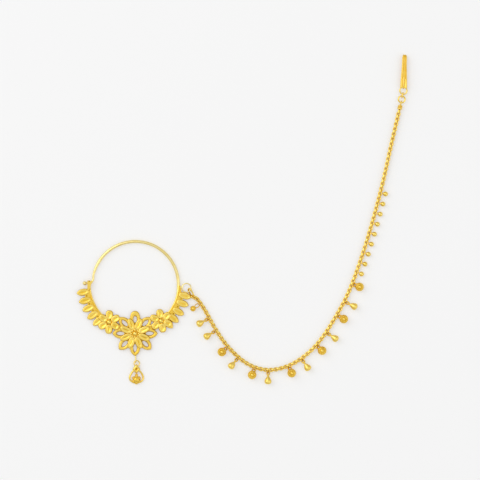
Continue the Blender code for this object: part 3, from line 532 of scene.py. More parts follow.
def petal(start, length, width, depth, relief, middle_share, powers):
    """Make a solid petal with a fine groove in its face, which leans a little to one side."""
    slant = random.uniform(-SLANT, SLANT)
    rings = [oval(start, length, width, (along, across), depth * rise, PETAL_POINTS, *powers)
             for along, across, rise, _ in relief]
    for point in (point for ring in rings for point in ring):
        point.z *= 1.0 + slant * point.y / (width / 2)
    return loft(rings, [row[-1] for row in relief],
                middle=(start + length / 2, 0.0, depth * middle_share), middle_tone=relief[-1][-1])


def long_link(length, width, wire_width, steps=14, inside=0.0):
    """Make a long wire link in the XY plane, with its length along X."""
    radius = (width - wire_width) / 2
    straight = max(0.0, (length - width) / 2)
    outline = []
    for centre, first in ((straight, -90.0), (-straight, 90.0)):
        outline += [polar(Vector((centre, 0.0)), radius, first + 180.0 * step / steps)
                    for step in range(steps + 1)]
    return wire(outline, wire_width, closed=True, inside=inside)


def round_ring(diameter, wire_width, steps=40):
    """Make a round wire ring of an outer diameter in the XY plane."""
    radius = (diameter - wire_width) / 2
    return wire(round_points(steps, radius, radius), wire_width, closed=True)


def show(name, data):
    """Add an object to the scene."""
    shown = bpy.data.objects.new(name, data)
    bpy.context.scene.collection.objects.link(shown)
    return shown


def joined(shapes):
    """Return several shapes as one."""
    points, faces, tones = [], [], []
    for more_points, more_faces, more_tones in shapes:
        start = len(points)
        points += more_points
        faces += [tuple(start + index for index in face) for face in more_faces]
        tones += more_tones
    return points, faces, tones


def piece(name, shapes, metal, node, sharp=50.0):
    """Make one piece out of shapes, in place of a node of the part."""
    points, faces, tones = joined(shapes)
    mesh = bpy.data.meshes.new(name)
    mesh.from_pydata(points, [], faces)
    # The tones are painted shade, kept on each point for the gold's colour and roughness
    mesh.attributes.new("painted_shade", "FLOAT", "POINT").data.foreach_set("value", tones)
    work = bmesh.new()
    work.from_mesh(mesh)
    bmesh.ops.recalc_face_normals(work, faces=work.faces)
    work.to_mesh(mesh)
    work.free()
    mesh.shade_smooth()
    mesh.set_sharp_from_angle(angle=math.radians(sharp))
    mesh.materials.append(metal)
    shown = show(name, mesh)
    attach(shown, BODY)
    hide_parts(node)


def with_inputs(node, values):
    """Return a shader node with constant values set on its inputs."""
    for socket, value in values.items():
        node.inputs[socket].default_value = value
    return node


def gold(name, bright, half_shade_colour, roughness, dents=0.25, grain=2600.0):
    """Return a gold with painted shade, darker and rougher where the painted shade tone is high, softly
    mottled and finely dented.
    """
    metal = bpy.data.materials.new(name)
    metal.use_nodes = True
    nodes, links = metal.node_tree.nodes, metal.node_tree.links
    shader = with_inputs(nodes["Principled BSDF"], {"Metallic": 1.0, "Specular Tint": (*EDGE_TINT, 1.0)})
    place = nodes.new("ShaderNodeTexCoord")
    mottle = with_inputs(nodes.new("ShaderNodeTexNoise"), {"Scale": MOTTLE_SCALE, "Detail": MOTTLE_DETAIL})
    links.new(place.outputs["Object"], mottle.inputs["Vector"])
    painted_shade = nodes.new("ShaderNodeAttribute")
    painted_shade.attribute_name = "painted_shade"
    spread = with_inputs(nodes.new("ShaderNodeMapRange"), MOTTLE_RANGE)
    links.new(mottle.outputs["Fac"], spread.inputs["Value"])
    # Painted shade tone plus the soft mottle, which picks the colour and roughness
    depth = nodes.new("ShaderNodeMath")
    depth.operation = "ADD"
    depth.use_clamp = True
    links.new(painted_shade.outputs["Fac"], depth.inputs[0])
    links.new(spread.outputs["Result"], depth.inputs[1])
    tint = nodes.new("ShaderNodeValToRGB")
    stops = tint.color_ramp.elements
    stops[0].color = (*bright, 1.0)
    stops[1].color = (*SHADE, 1.0)
    stops.new(HALF_SHADE_STOP).color = (*half_shade_colour, 1.0)
    links.new(depth.outputs[0], tint.inputs[0])
    links.new(tint.outputs[0], shader.inputs["Base Color"])
    rough = with_inputs(nodes.new("ShaderNodeMapRange"), {"To Min": roughness, "To Max": roughness + ROUGHER})
    links.new(depth.outputs[0], rough.inputs["Value"])
    links.new(rough.outputs["Result"], shader.inputs["Roughness"])
    fine = with_inputs(nodes.new("ShaderNodeTexNoise"), {"Scale": grain, "Detail": DENT_DETAIL})
    links.new(place.outputs["Object"], fine.inputs["Vector"])
    bump = with_inputs(nodes.new("ShaderNodeBump"), {"Strength": dents, "Distance": DENT_DEPTH})
    links.new(fine.outputs["Fac"], bump.inputs["Height"])
    links.new(bump.outputs["Normal"], shader.inputs["Normal"])
    return metal


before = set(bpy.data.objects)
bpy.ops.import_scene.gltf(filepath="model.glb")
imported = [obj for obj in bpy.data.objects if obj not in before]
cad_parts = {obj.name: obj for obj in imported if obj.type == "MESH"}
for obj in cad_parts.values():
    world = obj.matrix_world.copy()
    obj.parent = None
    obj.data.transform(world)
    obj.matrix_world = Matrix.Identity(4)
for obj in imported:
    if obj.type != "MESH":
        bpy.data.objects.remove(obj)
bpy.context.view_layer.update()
random.seed(SEED)

RICH = gold("rich_gold", bright=(1.0, 0.74, 0.17), half_shade_colour=(0.89, 0.55, 0.035), roughness=0.24)
BRIGHT = gold("bright_gold", bright=(1.0, 0.75, 0.19), half_shade_colour=(0.89, 0.56, 0.04), roughness=0.22, dents=0.15)
WIRE_GOLD = gold("wire_gold", bright=(1.0, 0.83, 0.35), half_shade_colour=(0.86, 0.64, 0.15), roughness=0.28, dents=0.12)
SATIN = gold("satin_gold", bright=(1.0, 0.76, 0.20), half_shade_colour=(0.89, 0.57, 0.05), roughness=0.38, dents=0.15)
GRAINY = gold("grainy_gold", bright=(1.0, 0.74, 0.16), half_shade_colour=(0.88, 0.52, 0.035), roughness=0.32, dents=0.4,
              grain=3600.0)


def band_width(angle):
    """Return the width of the band, which narrows towards both ends."""
    from_end = min(angle - BAND_START, BAND_END - angle)
    return BAND_WIDTH * min(1.0, BAND_NARROW + (1.0 - BAND_NARROW) * from_end / BAND_TAPER)


def nose_wire():
    """Return the hoop wire, its bent free end and the ball on it."""
    segments = 200
    bend_steps = 6
    join_angle = BAND_END - 360.0 - WIRE_BLEND
    points, radii = [], []
    for index in range(segments + 1):
        share = index / segments
        angle = join_angle + (BEND_ANGLE - join_angle) * share
        blend = max(0.0, (BAND_END - 360.0 - angle) / WIRE_BLEND)
        point = polar(HOOP_CENTRE, HOOP_RADIUS, angle, HOOP_HEIGHT)
        on_rim = polar(BAND_CENTRE, BAND_INNER_RADIUS + RIM_WIRE / 2, angle, BAND_DEPTH - BAND_BACK)
        points.append(point.lerp(on_rim, blend))
        thinning = max(0.0, (share - TIP_TAPER) / (1.0 - TIP_TAPER))
        radii.append(1.0 - (1.0 - WIRE_TIP / HOOP_WIRE) * thinning - (1.0 - RIM_WIRE / HOOP_WIRE) * blend)
    corner_x = points[-1].x
    tip_x = CATCH_LEFT - GAP - TIP_BALL / 4
    turns = [points[-2], points[-1]]
    turns += [Vector((corner_x - across * WIRE_TIP, CATCH_Y + up * WIRE_TIP, HOOP_HEIGHT))
              for across, up in BEND_STEPS]
    turns += [Vector((tip_x, CATCH_Y, HOOP_HEIGHT)), Vector((tip_x - WIRE_TIP, CATCH_Y, HOOP_HEIGHT))]
    for before, start, end, after in zip(turns, turns[1:], turns[2:], turns[3:]):
        for step in range(1, bend_steps + 1):
            lead = 0.5 if before is turns[0] and step == 1 else 1.0
            points.append(on_curve(before, start, end, after, step / bend_steps, lead))
    radii += [WIRE_TIP / HOOP_WIRE] * (len(points) - len(radii))
    return [wire(points, HOOP_WIRE, radii=radii, sides=20),
            moved(ball(TIP_BALL, 28), at((tip_x - TIP_BALL / 4, CATCH_Y, HOOP_HEIGHT)))]


def band():
    """Return the band with its inner rim wire, and a lump with a dark disc of painted shadow between each two
    leaves; band and lumps carry painted shade.
    """
    steps = 180
    rings, rim = [], []
    inner = BAND_INNER_RADIUS + RIM_WIRE / 3
    for index in range(steps + 1):
        angle = BAND_START + (BAND_END - BAND_START) * index / steps
        outer = BAND_INNER_RADIUS + band_width(angle)
        corners = ((inner, BAND_BACK), (outer, BAND_BACK), (outer, BAND_DEPTH - SEAT_BACK),
                   (outer - SEAT_BACK, BAND_DEPTH), (inner, BAND_DEPTH))
        rings.append([polar(BAND_CENTRE, radius, angle, height) for radius, height in corners])
        rim.append(polar(BAND_CENTRE, BAND_INNER_RADIUS + RIM_WIRE / 2, angle, BAND_DEPTH))
    shapes = [loft(rings, [BAND_TONE] * len(rings)), wire(rim, RIM_WIRE)]
    for angles in (LEFT_LEAF_ANGLES, RIGHT_LEAF_ANGLES):
        for first, second in zip(angles, angles[1:]):
            angle = (first + second) / 2
            radius = BAND_INNER_RADIUS + band_width(angle) + ROOT_OUT
            root = disc(ROOT_RADIUS, BAND_DEPTH - SEAT_BACK, sides=20, tone=ROOT_TONE)
            shapes.append(moved(root, at(polar(BAND_CENTRE, radius, angle, BAND_BACK))))
            shapes.append(pit_shadow(polar(BAND_CENTRE, radius, angle, BAND_DEPTH - BAND_BACK / 2)))
    return shapes


def catch():
    """Return the catch at the band's free end: a bridge over the wire, open at the back, darker below as
    painted shade, with a dark disc of painted shadow on top.
    """
    left = CATCH_LEFT
    right = left + CATCH_ARM
    half_slot = WIRE_TIP / 2 + GAP
    foot = polar(BAND_CENTRE, BAND_OUTER_RADIUS, BAND_START + CATCH_FOOT_ANGLE).y
    roof = HOOP_HEIGHT + WIRE_TIP / 2 + GAP
    stem = box((left, foot, SEAT_BACK), (right, CATCH_Y - half_slot, CATCH_DEPTH))
    top = CATCH_Y + half_slot + CATCH_LIP
    notch = [(right + CATCH_WIDTH * out, top - CATCH_LIP * down) for out, down in CATCH_NOTCH]
    corners = [(left, top), (left, foot), (right, foot - CATCH_LIP),
               (right + CATCH_WIDTH / 2, foot + CATCH_LIP), *notch, (right, top)]
    bridge_top = CATCH_DEPTH + BAND_BACK / 2
    bridge = loft([[(x, y, height) for x, y in corners] for height in (roof, bridge_top)], CATCH_TONES)
    lip = box((left, CATCH_Y + half_slot, SEAT_BACK), (right, top, CATCH_DEPTH))
    return [stem, bridge, lip, pit_shadow((right + PIT / 3, top - CATCH_LIP * CATCH_PIT_DOWN, bridge_top))]


def leaves():
    """Return the leaves that fan out from both ends of the band."""
    shapes = []
    for angles, side in ((LEFT_LEAF_ANGLES, 1.0), (RIGHT_LEAF_ANGLES, -1.0)):
        for angle in angles:
            lean = side * (FIRST_LEAF_LEAN if angle == angles[0] else LEAF_LEAN)
            seat = polar(BAND_CENTRE, BAND_OUTER_RADIUS - LEAF_SEAT, angle, BAND_BACK / 2)
            leaf = petal(0.0, LEAF_LENGTH, LEAF_WIDTH, LEAF_DEPTH, LEAF_RELIEF, LEAF_MIDDLE, LEAF_POWERS)
            shapes.append(moved(leaf, at(seat, angle + lean)))
    return shapes


def side_flower(angle, turn):
    """Return one side flower of cupped petals round a bead."""
    centre = polar(BAND_CENTRE, BAND_INNER_RADIUS + SIDE_FLOWER_SEAT, angle)
    lift = Vector((0.0, 0.0, BAND_BACK / 4))
    # The base between the petals carries painted shade
    shapes = [moved(disc(SIDE_BASE_RADIUS, SIDE_BASE_DEPTH, tone=SIDE_BASE_TONE), at(centre))]
    for index in range(SIDE_PETALS):
        leaf = petal(SIDE_PETAL_START, SIDE_PETAL_LENGTH, SIDE_PETAL_BROAD, SIDE_PETAL_DEPTH, SIDE_RELIEF,
                     SIDE_MIDDLE, SIDE_POWERS)
        shapes.append(moved(leaf, at(centre + lift, turn + 360.0 * index / SIDE_PETALS)))
    shapes.append(moved(ball(SIDE_BEAD_BROAD, 28), at(centre + Vector((0.0, 0.0, SIDE_BEAD_HEIGHT)))))
    return shapes


def outer_petal(index):
    """Return one pierced petal of the centre flower."""
    powers = TOP_PETAL_POWERS if index == 0 else OUTER_POWERS
    length = TOP_HOLE_LENGTH if index == 0 else HOLE_LENGTH
    outside, inside = [oval(start, reach, width, (1.0, 1.0), 0.0, OUTER_POINTS, *powers)
                       for start, reach, width in ((OUTER_START, OUTER_REACH - OUTER_START, OUTER_WIDTH),
                                                   (HOLE_RADIUS - HOLE_LENGTH / 2, length, HOLE_FINE))]
    rings = []
    for share, rise, _ in OUTER_RELIEF:
        lift = Vector((0.0, 0.0, OUTER_DEPTH * rise))
        rings.append([out.lerp(hole, share) + lift for out, hole in zip(outside, inside)])
    points, faces, tones = loft(rings, [tone for _, _, tone in OUTER_RELIEF], ring_shaped=True)
    # Each petal sinks and carries more painted shade towards its root
    for number, point in enumerate(points):
        root = min(1.0, max(0.0, (OUTER_ROOT - point.x) / OUTER_ROOT_LENGTH))
        point.z *= 1.0 - OUTER_ROOT_DROP * root
        tones[number] = max(tones[number], OUTER_ROOT_TONE * root)
    lift = BAND_BACK / 2 * (1 + index % 2)
    return moved((points, faces, tones), at((0.0, 0.0, lift), 360.0 * index / OUTER_PETALS + 90.0))


def centre_flower():
    """Return the base and the pierced and solid petals of the centre flower, with dark discs of painted
    shadow between them and painted shade on the base.
    """
    shapes = [disc(FLOWER_BASE_RADIUS, FLOWER_BASE_DEPTH, sides=56, tone=FLOWER_BASE_TONE)]
    for index in range(OUTER_PETALS):
        shapes.append(outer_petal(index))
        leaf = petal(INNER_START, INNER_REACH - INNER_START, INNER_BROAD, INNER_DEPTH, INNER_RELIEF,
                     INNER_MIDDLE, INNER_POWERS)
        heading = 360.0 * (index + 0.5) / OUTER_PETALS + 90.0
        shapes.append(moved(leaf, at((0.0, 0.0, SEAT_BACK), heading)))
        shapes.append(pit_shadow(polar(Vector(), FLOWER_PIT_RADIUS, heading - 180.0 / OUTER_PETALS, OUTER_DEPTH)))
    return shapes


def rosette():
    """Return the beads and dome in the middle of the centre flower."""
    # The plate under the beads carries the disc's painted shade
    shapes = [moved(disc(ROSETTE_RADIUS, ROSETTE_HEIGHT), at((0.0, 0.0, BAND_BACK)))]
    for index in range(ROSETTE_BEADS):
        spot = polar(Vector(), ROSETTE_RADIUS, 360.0 * index / ROSETTE_BEADS, ROSETTE_HEIGHT)
        shapes.append(moved(ball(ROSETTE_BEAD, 20), at(spot)))
    shapes.append(moved(ball(ROSETTE_DOME_BROAD, 28), at((0.0, 0.0, ROSETTE_HEIGHT + ROSETTE_BEAD / 8))))
    return shapes


def side_ring_centre():
    """Return the middle of the ring beside the hoop."""
    radius = BAND_INNER_RADIUS + band_width(SIDE_RING_ANGLE) + SIDE_RING_PEG + SIDE_RING / 2
    return polar(BAND_CENTRE, radius, SIDE_RING_ANGLE, RING_HEIGHT)


def fixed_loops():
    """Return the upright loop under the lowest petal, and the ring and peg beside the hoop."""
    loop = moved(long_link(PETAL_LOOP_LENGTH, PETAL_LOOP_HEIGHT, LOOP_WIRE), at(LOOP_CENTRE, -90.0, 90.0))
    ring = moved(round_ring(SIDE_RING, SIDE_RING_FINE), at(side_ring_centre()))
    height = RING_HEIGHT - SEAT_BACK
    reach = band_width(SIDE_RING_ANGLE) + SIDE_RING_PEG + RING_WIRE / 2
    start = polar(BAND_CENTRE, BAND_INNER_RADIUS + RING_WIRE, SIDE_RING_ANGLE, height)
    end = polar(BAND_CENTRE, BAND_INNER_RADIUS + reach, SIDE_RING_ANGLE, height)
    return [loop, ring, wire([start, end], PEG_WIRE, sides=16)]


def drop_ring_centre():
    """Return the middle of the loose ring that hangs in the petal loop."""
    loop_end = LOOP_CENTRE.y - PETAL_LOOP_LENGTH / 2 + LOOP_WIRE
    held_at = math.sqrt(((DROP_RING - LOOP_WIRE) / 2) ** 2 - (DROP_RING_SHIFT - LOOP_CENTRE.x) ** 2)
    return Vector((DROP_RING_SHIFT, loop_end + LINK_GAP * 1.5 + LOOP_WIRE / 2 - held_at, LOOP_CENTRE.z))


def drop_bead(ring_centre, bead_centre):
    """Return the square bead, cut flat where it passes under the loose ring."""
    under_ring = ring_centre.y - DROP_RING / 2 - LINK_GAP
    over_ring = (ring_centre.z + LOOP_WIRE / 2 + LINK_GAP) / DROP_BEAD_DEPTH
    steps = 40
    rings = []
    for share, ring_rise, rise, is_cut, _ in BEAD_PROFILE:
        ring = []
        for step in range(steps):
            turn = math.tau * step / steps
            fold = abs((math.degrees(turn) % 90.0) - 45.0) / 45.0
            reach = share * (BEAD_SIDE + BEAD_CORNER * fold ** BEAD_CORNER_POWER)
            x = bead_centre.x + reach * DROP_BEAD_WIDTH / 2 * math.cos(turn)
            y = bead_centre.y + reach * DROP_BEAD / 2 * math.sin(turn)
            ring.append(Vector((x, min(y, under_ring) if is_cut else y,
                                (over_ring * ring_rise + rise) * DROP_BEAD_DEPTH)))
        rings.append(ring)
    middle = bead_centre + Vector((0.0, 0.0, DROP_BEAD_DEPTH * BEAD_MIDDLE))
    return loft(rings, [row[-1] for row in BEAD_PROFILE], middle=middle, middle_tone=BEAD_MIDDLE_TONE)


def drop_frame(frame_top):
    """Return the open teardrop of wire."""
    steps = 96
    points = []
    for index in range(steps):
        turn = math.tau * index / steps
        narrowing = math.sin(turn / 2) ** FRAME_POWER * FRAME_FULLNESS
        points.append((DROP_SHIFT + (FRAME_WIDTH - FRAME_WIRE) / 2 * math.sin(turn) * narrowing,
                       frame_top - (FRAME_LENGTH - FRAME_WIRE) * (1.0 - math.cos(turn)) / 2,
                       FRAME_WIRE / 2 + BAND_BACK))
    return wire(points, FRAME_WIRE, closed=True, sides=14)


def drop_cluster(frame_top):
    """Return the granulated beads inside the frame: a ring of them, one on top and a middle dome."""
    middle_y = frame_top - FRAME_LENGTH + CLUSTER_RADIUS + CLUSTER_BEAD / 2 + FRAME_WIRE / 4
    centre = Vector((DROP_SHIFT, middle_y, 0.0))
    bead = CLUSTER_BEAD * CLUSTER_FULLER
    cluster = []
    for index in range(CLUSTER_BEADS):
        spot = polar(centre, CLUSTER_RADIUS * CLUSTER_FULLER, 360.0 * index / CLUSTER_BEADS + 90.0, bead / 2)
        cluster.append(moved(granulated(bead, *CLUSTER_GRAINS), at(spot)))
    spot = polar(centre, TOP_GRANULE_REACH, 90.0, CLUSTER_BEAD / 2)
    cluster.append(moved(granulated(TOP_GRANULE * CLUSTER_FULLER, *TOP_GRAINS), at(spot)))
    spot = centre + Vector((0.0, 0.0, CLUSTER_FILL * CLUSTER_SQUASH / 2 + BAND_BACK))
    cluster.append(moved(granulated(CLUSTER_FILL, *FILL_GRAINS, CLUSTER_SQUASH), at(spot)))
    return cluster


def main_drop():
    """Return the metalwork of the main drop, and its granulated cluster."""
    ring_centre = drop_ring_centre()
    bail_top = ring_centre.y - DROP_RING / 2 + LOOP_WIRE + LINK_GAP + LOOP_WIRE
    bail_centre = Vector((DROP_SHIFT, bail_top - BAIL_LENGTH / 2, ring_centre.z))
    bail = moved(long_link(BAIL_LENGTH, BAIL_HEIGHT, LOOP_WIRE), at(bail_centre, -90.0, 90.0))
    bead_top = ring_centre.y - DROP_RING / 2 - LINK_GAP + DROP_BEAD_REACH
    bead_centre = Vector((DROP_SHIFT, bead_top - DROP_BEAD / 2, 0.0))
    frame_top = bead_centre.y - DROP_BEAD / 2 + FRAME_SEAT
    return [drop_bead(ring_centre, bead_centre), bail, drop_frame(frame_top)], drop_cluster(frame_top)


def granulated(diameter, grains, grain_size, squash=1.0):
    """Return a ball covered with small grains that keep inside its diameter."""
    # The core between the grains carries painted shade
    shapes = [ball(diameter - grain_size * GRAIN_SINK, 24, squash, GRAIN_CORE_TONE)]
    for index in range(grains):
        height = 1.0 - 2.0 * (index + 0.5) / grains
        turn = index * GRAIN_TURN + random.uniform(-GRAIN_LOOSE, GRAIN_LOOSE)
        reach = math.sqrt(max(0.0, 1.0 - height * height))
        radius = (diameter - grain_size) / 2
        spot = Vector((reach * math.cos(turn) * radius, reach * math.sin(turn) * radius,
                       height * (diameter * squash - grain_size) / 2))
        size = grain_size * random.uniform(GRAIN_SMALLEST, 1.0)
        shapes.append(moved(ball(size, 8), Matrix.Translation(spot)))
    return joined(shapes)


def smooth_route():
    """Return points on a smooth curve through the chain's chosen points, close together."""
    ring = side_ring_centre()
    chosen = [Vector((ring.x + x, ring.y + y, CHAIN_WIDTH / 2 + CHAIN_LIFT)) for x, y in CHAIN_ROUTE]
    padded = [2 * chosen[0] - chosen[1]] + chosen + [2 * chosen[-1] - chosen[-2]]
    steps = 24
    points = []
    for before, start, end, after in zip(padded, padded[1:], padded[2:], padded[3:]):
        points += [on_curve(before, start, end, after, step / steps) for step in range(steps)]
    return points + [chosen[-1]]


ROUTE = smooth_route()
ROUTE_STEPS = [(after - before).length for before, after in zip(ROUTE, ROUTE[1:])]
ROUTE_LENGTH = sum(ROUTE_STEPS)


def on_route(distance):
    """Return the point at a distance along the chain, and the direction there."""
    left = distance
    for start, end, step in zip(ROUTE, ROUTE[1:], ROUTE_STEPS):
        if left <= step:
            return start.lerp(end, left / step), (end - start).normalized()
        left -= step
    return ROUTE[-1], (ROUTE[-1] - ROUTE[-2]).normalized()


def chain():
    """Return the broad links, each turned a quarter from the one before."""
    halves = [(size - LINK_THICK) / 2 for size in (LINK_LENGTH, LINK_WIDTH)]
    outline = round_points(28, *halves, power=LINK_POWER)
    # Each link carries painted shade on its inner side
    link = wire(outline, LINK_THICK, closed=True, flat=LINK_BROAD / LINK_THICK, inside=LINK_INSIDE_TONE)
    count = round((ROUTE_LENGTH - LINK_LENGTH) / LINK_PITCH)
    pitch = (ROUTE_LENGTH - LINK_LENGTH) / count
    start, direction = on_route(0.0)
    shapes = []
    for index in range(-1, count + 1):
        distance = LINK_LENGTH / 2 + pitch * index
        if index < 0:
            spot = start + direction * distance
        else:
            spot, direction = on_route(distance)
        heading = math.degrees(math.atan2(direction.y, direction.x))
        twist = (FIRST_LINK_TILT - 90.0 - LINK_ROLL) * max(0.0, 1.0 - (index + 1) / TWIST_LINKS)
        roll = LINK_ROLL + 90.0 * ((index + 1) % 2) + twist + random.uniform(-LINK_LOOSE, LINK_LOOSE)
        shapes.append(moved(link, at(spot, heading, roll)))
    return shapes


def first_link():
    """Return the long link from the ring beside the hoop to the chain."""
    held_at = polar(side_ring_centre(), (SIDE_RING - RING_WIRE) / 2, FIRST_LINK_HOLD)
    along = on_route(0.0)[0] - held_at
    along.z = 0.0
    heading = math.degrees(math.atan2(along.y, along.x))
    inside = RING_WIRE / 2 + FIRST_LINK_ROOM + FIRST_LINK_WIRE
    length = along.length + inside
    middle = held_at + along.normalized() * (length / 2 - inside)
    middle.z = RING_HEIGHT
    # The link carries full painted shade on its inner side
    link = long_link(length, FIRST_LINK_WIDTH, FIRST_LINK_BROAD, inside=1.0)
    return [moved(link, at(middle, heading, FIRST_LINK_TILT))]


def off_chain(share, height):
    """Return the place on the chain's middle line at a height, headed to its outer side."""
    spot, direction = on_route(ROUTE_LENGTH * share)
    return at((spot.x, spot.y, height), math.degrees(math.atan2(-direction.x, direction.y)))


def charm_ring(width, end, height, ring_wire=CHARM_RING_WIRE):
    """Return the ring of a charm, from under the chain's side up to its body on the X axis."""
    rise = height - CHARM_RING_LOW
    run = end - CHARM_RING_START
    length = math.hypot(run, rise) + ring_wire
    outline = [(length / 2 + x, y, 0.0)
               for x, y, _ in round_points(32, (length - ring_wire) / 2, (width - ring_wire) / 2)]
    slope = Matrix.Rotation(-math.atan2(rise, run), 4, "Y")
    start = Vector((CHARM_RING_START - ring_wire / 2, 0.0, CHARM_RING_LOW - height))
    # Painted shade all round the ring, and more on its inner side
    tone, inside = CHARM_RING_TONES
    ring = wire(outline, ring_wire, closed=True, tone=tone, inside=inside)
    return moved(ring, Matrix.Translation(start) @ slope)


def lay_down(start):
    """Return the matrix that lays a turned piece down with its top at start on the X axis."""
    return Matrix.Translation((start, 0.0, 0.0)) @ Matrix.Rotation(math.radians(-90.0), 4, "Y")


def teardrop():
    """Return one small drop with its ring."""
    start = CHAIN_WIDTH / 2 + GAP + CHARM_LOOP - LOOP_SINK + DROP_CHARM_OUT
    profile = [(TEARDROP_WIDTH / 2 * wide, -TEARDROP_LENGTH * down) for wide, down in TEARDROP_PROFILE]
    return [moved(turned(profile, 32), lay_down(start)),
            charm_ring(DROP_CHARM_RING, start + DROP_CHARM_HOLD, TEARDROP_WIDTH / 2)]


def ball_charm(diameter, loop):
    """Return one round charm with a dome and beads on its face, and its own ring to the chain."""
    is_first = loop == FIRST_CHARM_LOOP
    ring_wire = FIRST_RING_WIRE if is_first else CHARM_RING_WIRE
    fuller = FIRST_BALL_FULLER if is_first else BALL_FULLER
    centre = Vector((CHAIN_WIDTH / 2 + GAP + loop - 2 * LOOP_SINK + diameter / 2, 0.0, 0.0))
    face = diameter * BALL_SQUASH / 2
    ring = charm_ring(BALL_RING, centre.x - diameter / 2 + ring_wire, face, ring_wire)
    grains = round(BALL_GRAINS * (diameter / BALL_CHARM) ** 2)
    body = granulated(diameter * fuller, grains, BALL_GRAIN, BALL_SQUASH / fuller)
    # The plate under the dome carries painted shade
    plate = disc(diameter * FACE_PLATE, PLATE_DEPTH, sides=24, tone=PLATE_TONE)
    shapes = [moved(body, at(centre)), moved(plate, at((centre.x, 0.0, face * PLATE_RISE)))]
    shapes.append(moved(ball(diameter * FACE_DOME, 20, DOME_SQUASH), at((centre.x, 0.0, face * DOME_RISE))))
    for step in range(FACE_BEADS):
        spot = polar(centre, diameter * FACE_BEAD_REACH, 360.0 * step / FACE_BEADS, face * FACE_BEAD_RISE)
        shapes.append(moved(ball(diameter * FACE_BEAD, 12), at(spot)))
    return shapes + [ring]


def small_ball():
    """Return one small plain ball with its short neck."""
    radius = SMALL_BALL_BROAD / 2
    start = CHAIN_WIDTH / 2 + SMALL_NECK_GAP
    neck = CHAIN_WIDTH / 2 + GAP + (LOOP_SINK + SMALL_BALL) / 2 - radius - start
    profile = [(0.0, 0.0), (SMALL_NECK / 2, 0.0), (SMALL_NECK / 2, -neck)]
    rows = 16
    for row in range(3, rows):
        angle = math.pi * row / rows
        profile.append((radius * math.sin(angle), -neck - radius * (1.0 - math.cos(angle))))
    profile.append((0.0, -neck - SMALL_BALL_BROAD))
    return [moved(turned(profile, 24), lay_down(start))]


def hook_section(middle, out, width, ridge):
    """Return the sheet's section: flat behind, with a raised edge on both sides in front."""
    half = width / 2
    inner = half - HOOK_RIDGE
    sheet = HOOK_SHEET / 2
    top = sheet + ridge
    edge = ((half, -sheet), (half, sheet + ridge * RIDGE_OUTSIDE), (half - HOOK_RIDGE * RIDGE_SOFT, top),
            (inner + HOOK_RIDGE * GROOVE_SOFT, top), (inner * GROOVE, sheet))
    mirrored = [(-across, rise) for across, rise in reversed(edge)]
    shape = (mirrored[-1], *edge, *mirrored[:-1])
    return [middle + Vector((0.0, across, 0.0)) + out * rise for across, rise in shape]


def hook_strip():
    """Return the sheet of the hook: front leg, fold and tongue."""
    fold = (HOOK_THROAT + HOOK_SHEET) / 2
    front = HOOK_SHEET * 1.5 + HOOK_THROAT
    straight = HOOK_LENGTH - fold - HOOK_SHEET / 2 - HOOK_RISE
    path = []
    leg_steps = 16
    for index in range(leg_steps + 1):
        share = index / leg_steps
        width = HOOK_FOOT_WIDTH + (HOOK_TOP_WIDTH - HOOK_FOOT_WIDTH) * min(1.0, share / HOOK_EVEN_FROM)
        path.append((straight * share, front, 90.0, HOOK_FOLD_WIDTH if share == 1.0 else width, HOOK_RISE))
    fold_steps = 18
    for index in range(1, fold_steps):
        share = index / fold_steps
        angle = 90.0 - 180.0 * share
        width = HOOK_FOLD_WIDTH + (HOOK_TONGUE_WIDTH - HOOK_FOLD_WIDTH) * share
        width -= HOOK_WAIST * math.sin(math.pi * share)
        spot = polar(Vector((straight, front - fold)), fold, angle)
        path.append((spot.x, spot.y, angle, width, HOOK_RISE * (1.0 - share)))
    for share in (1.0, 1.0 - HOOK_TONGUE_SHARE):
        path.append((straight * share, HOOK_SHEET / 2, -90.0, HOOK_TONGUE_WIDTH, 0.0))
    rings = []
    for along, height, angle, width, ridge in path:
        out = polar(Vector(), 1.0, angle).xzy
        rings.append(hook_section(Vector((along, 0.0, height)), out, width, ridge))
    points, faces, _ = loft(rings, [0.0] * len(rings))
    # Painted shade across the sheet: dark edges, light ridge tops, a little darker groove
    return points, faces, list(HOOK_TONES) * len(rings)


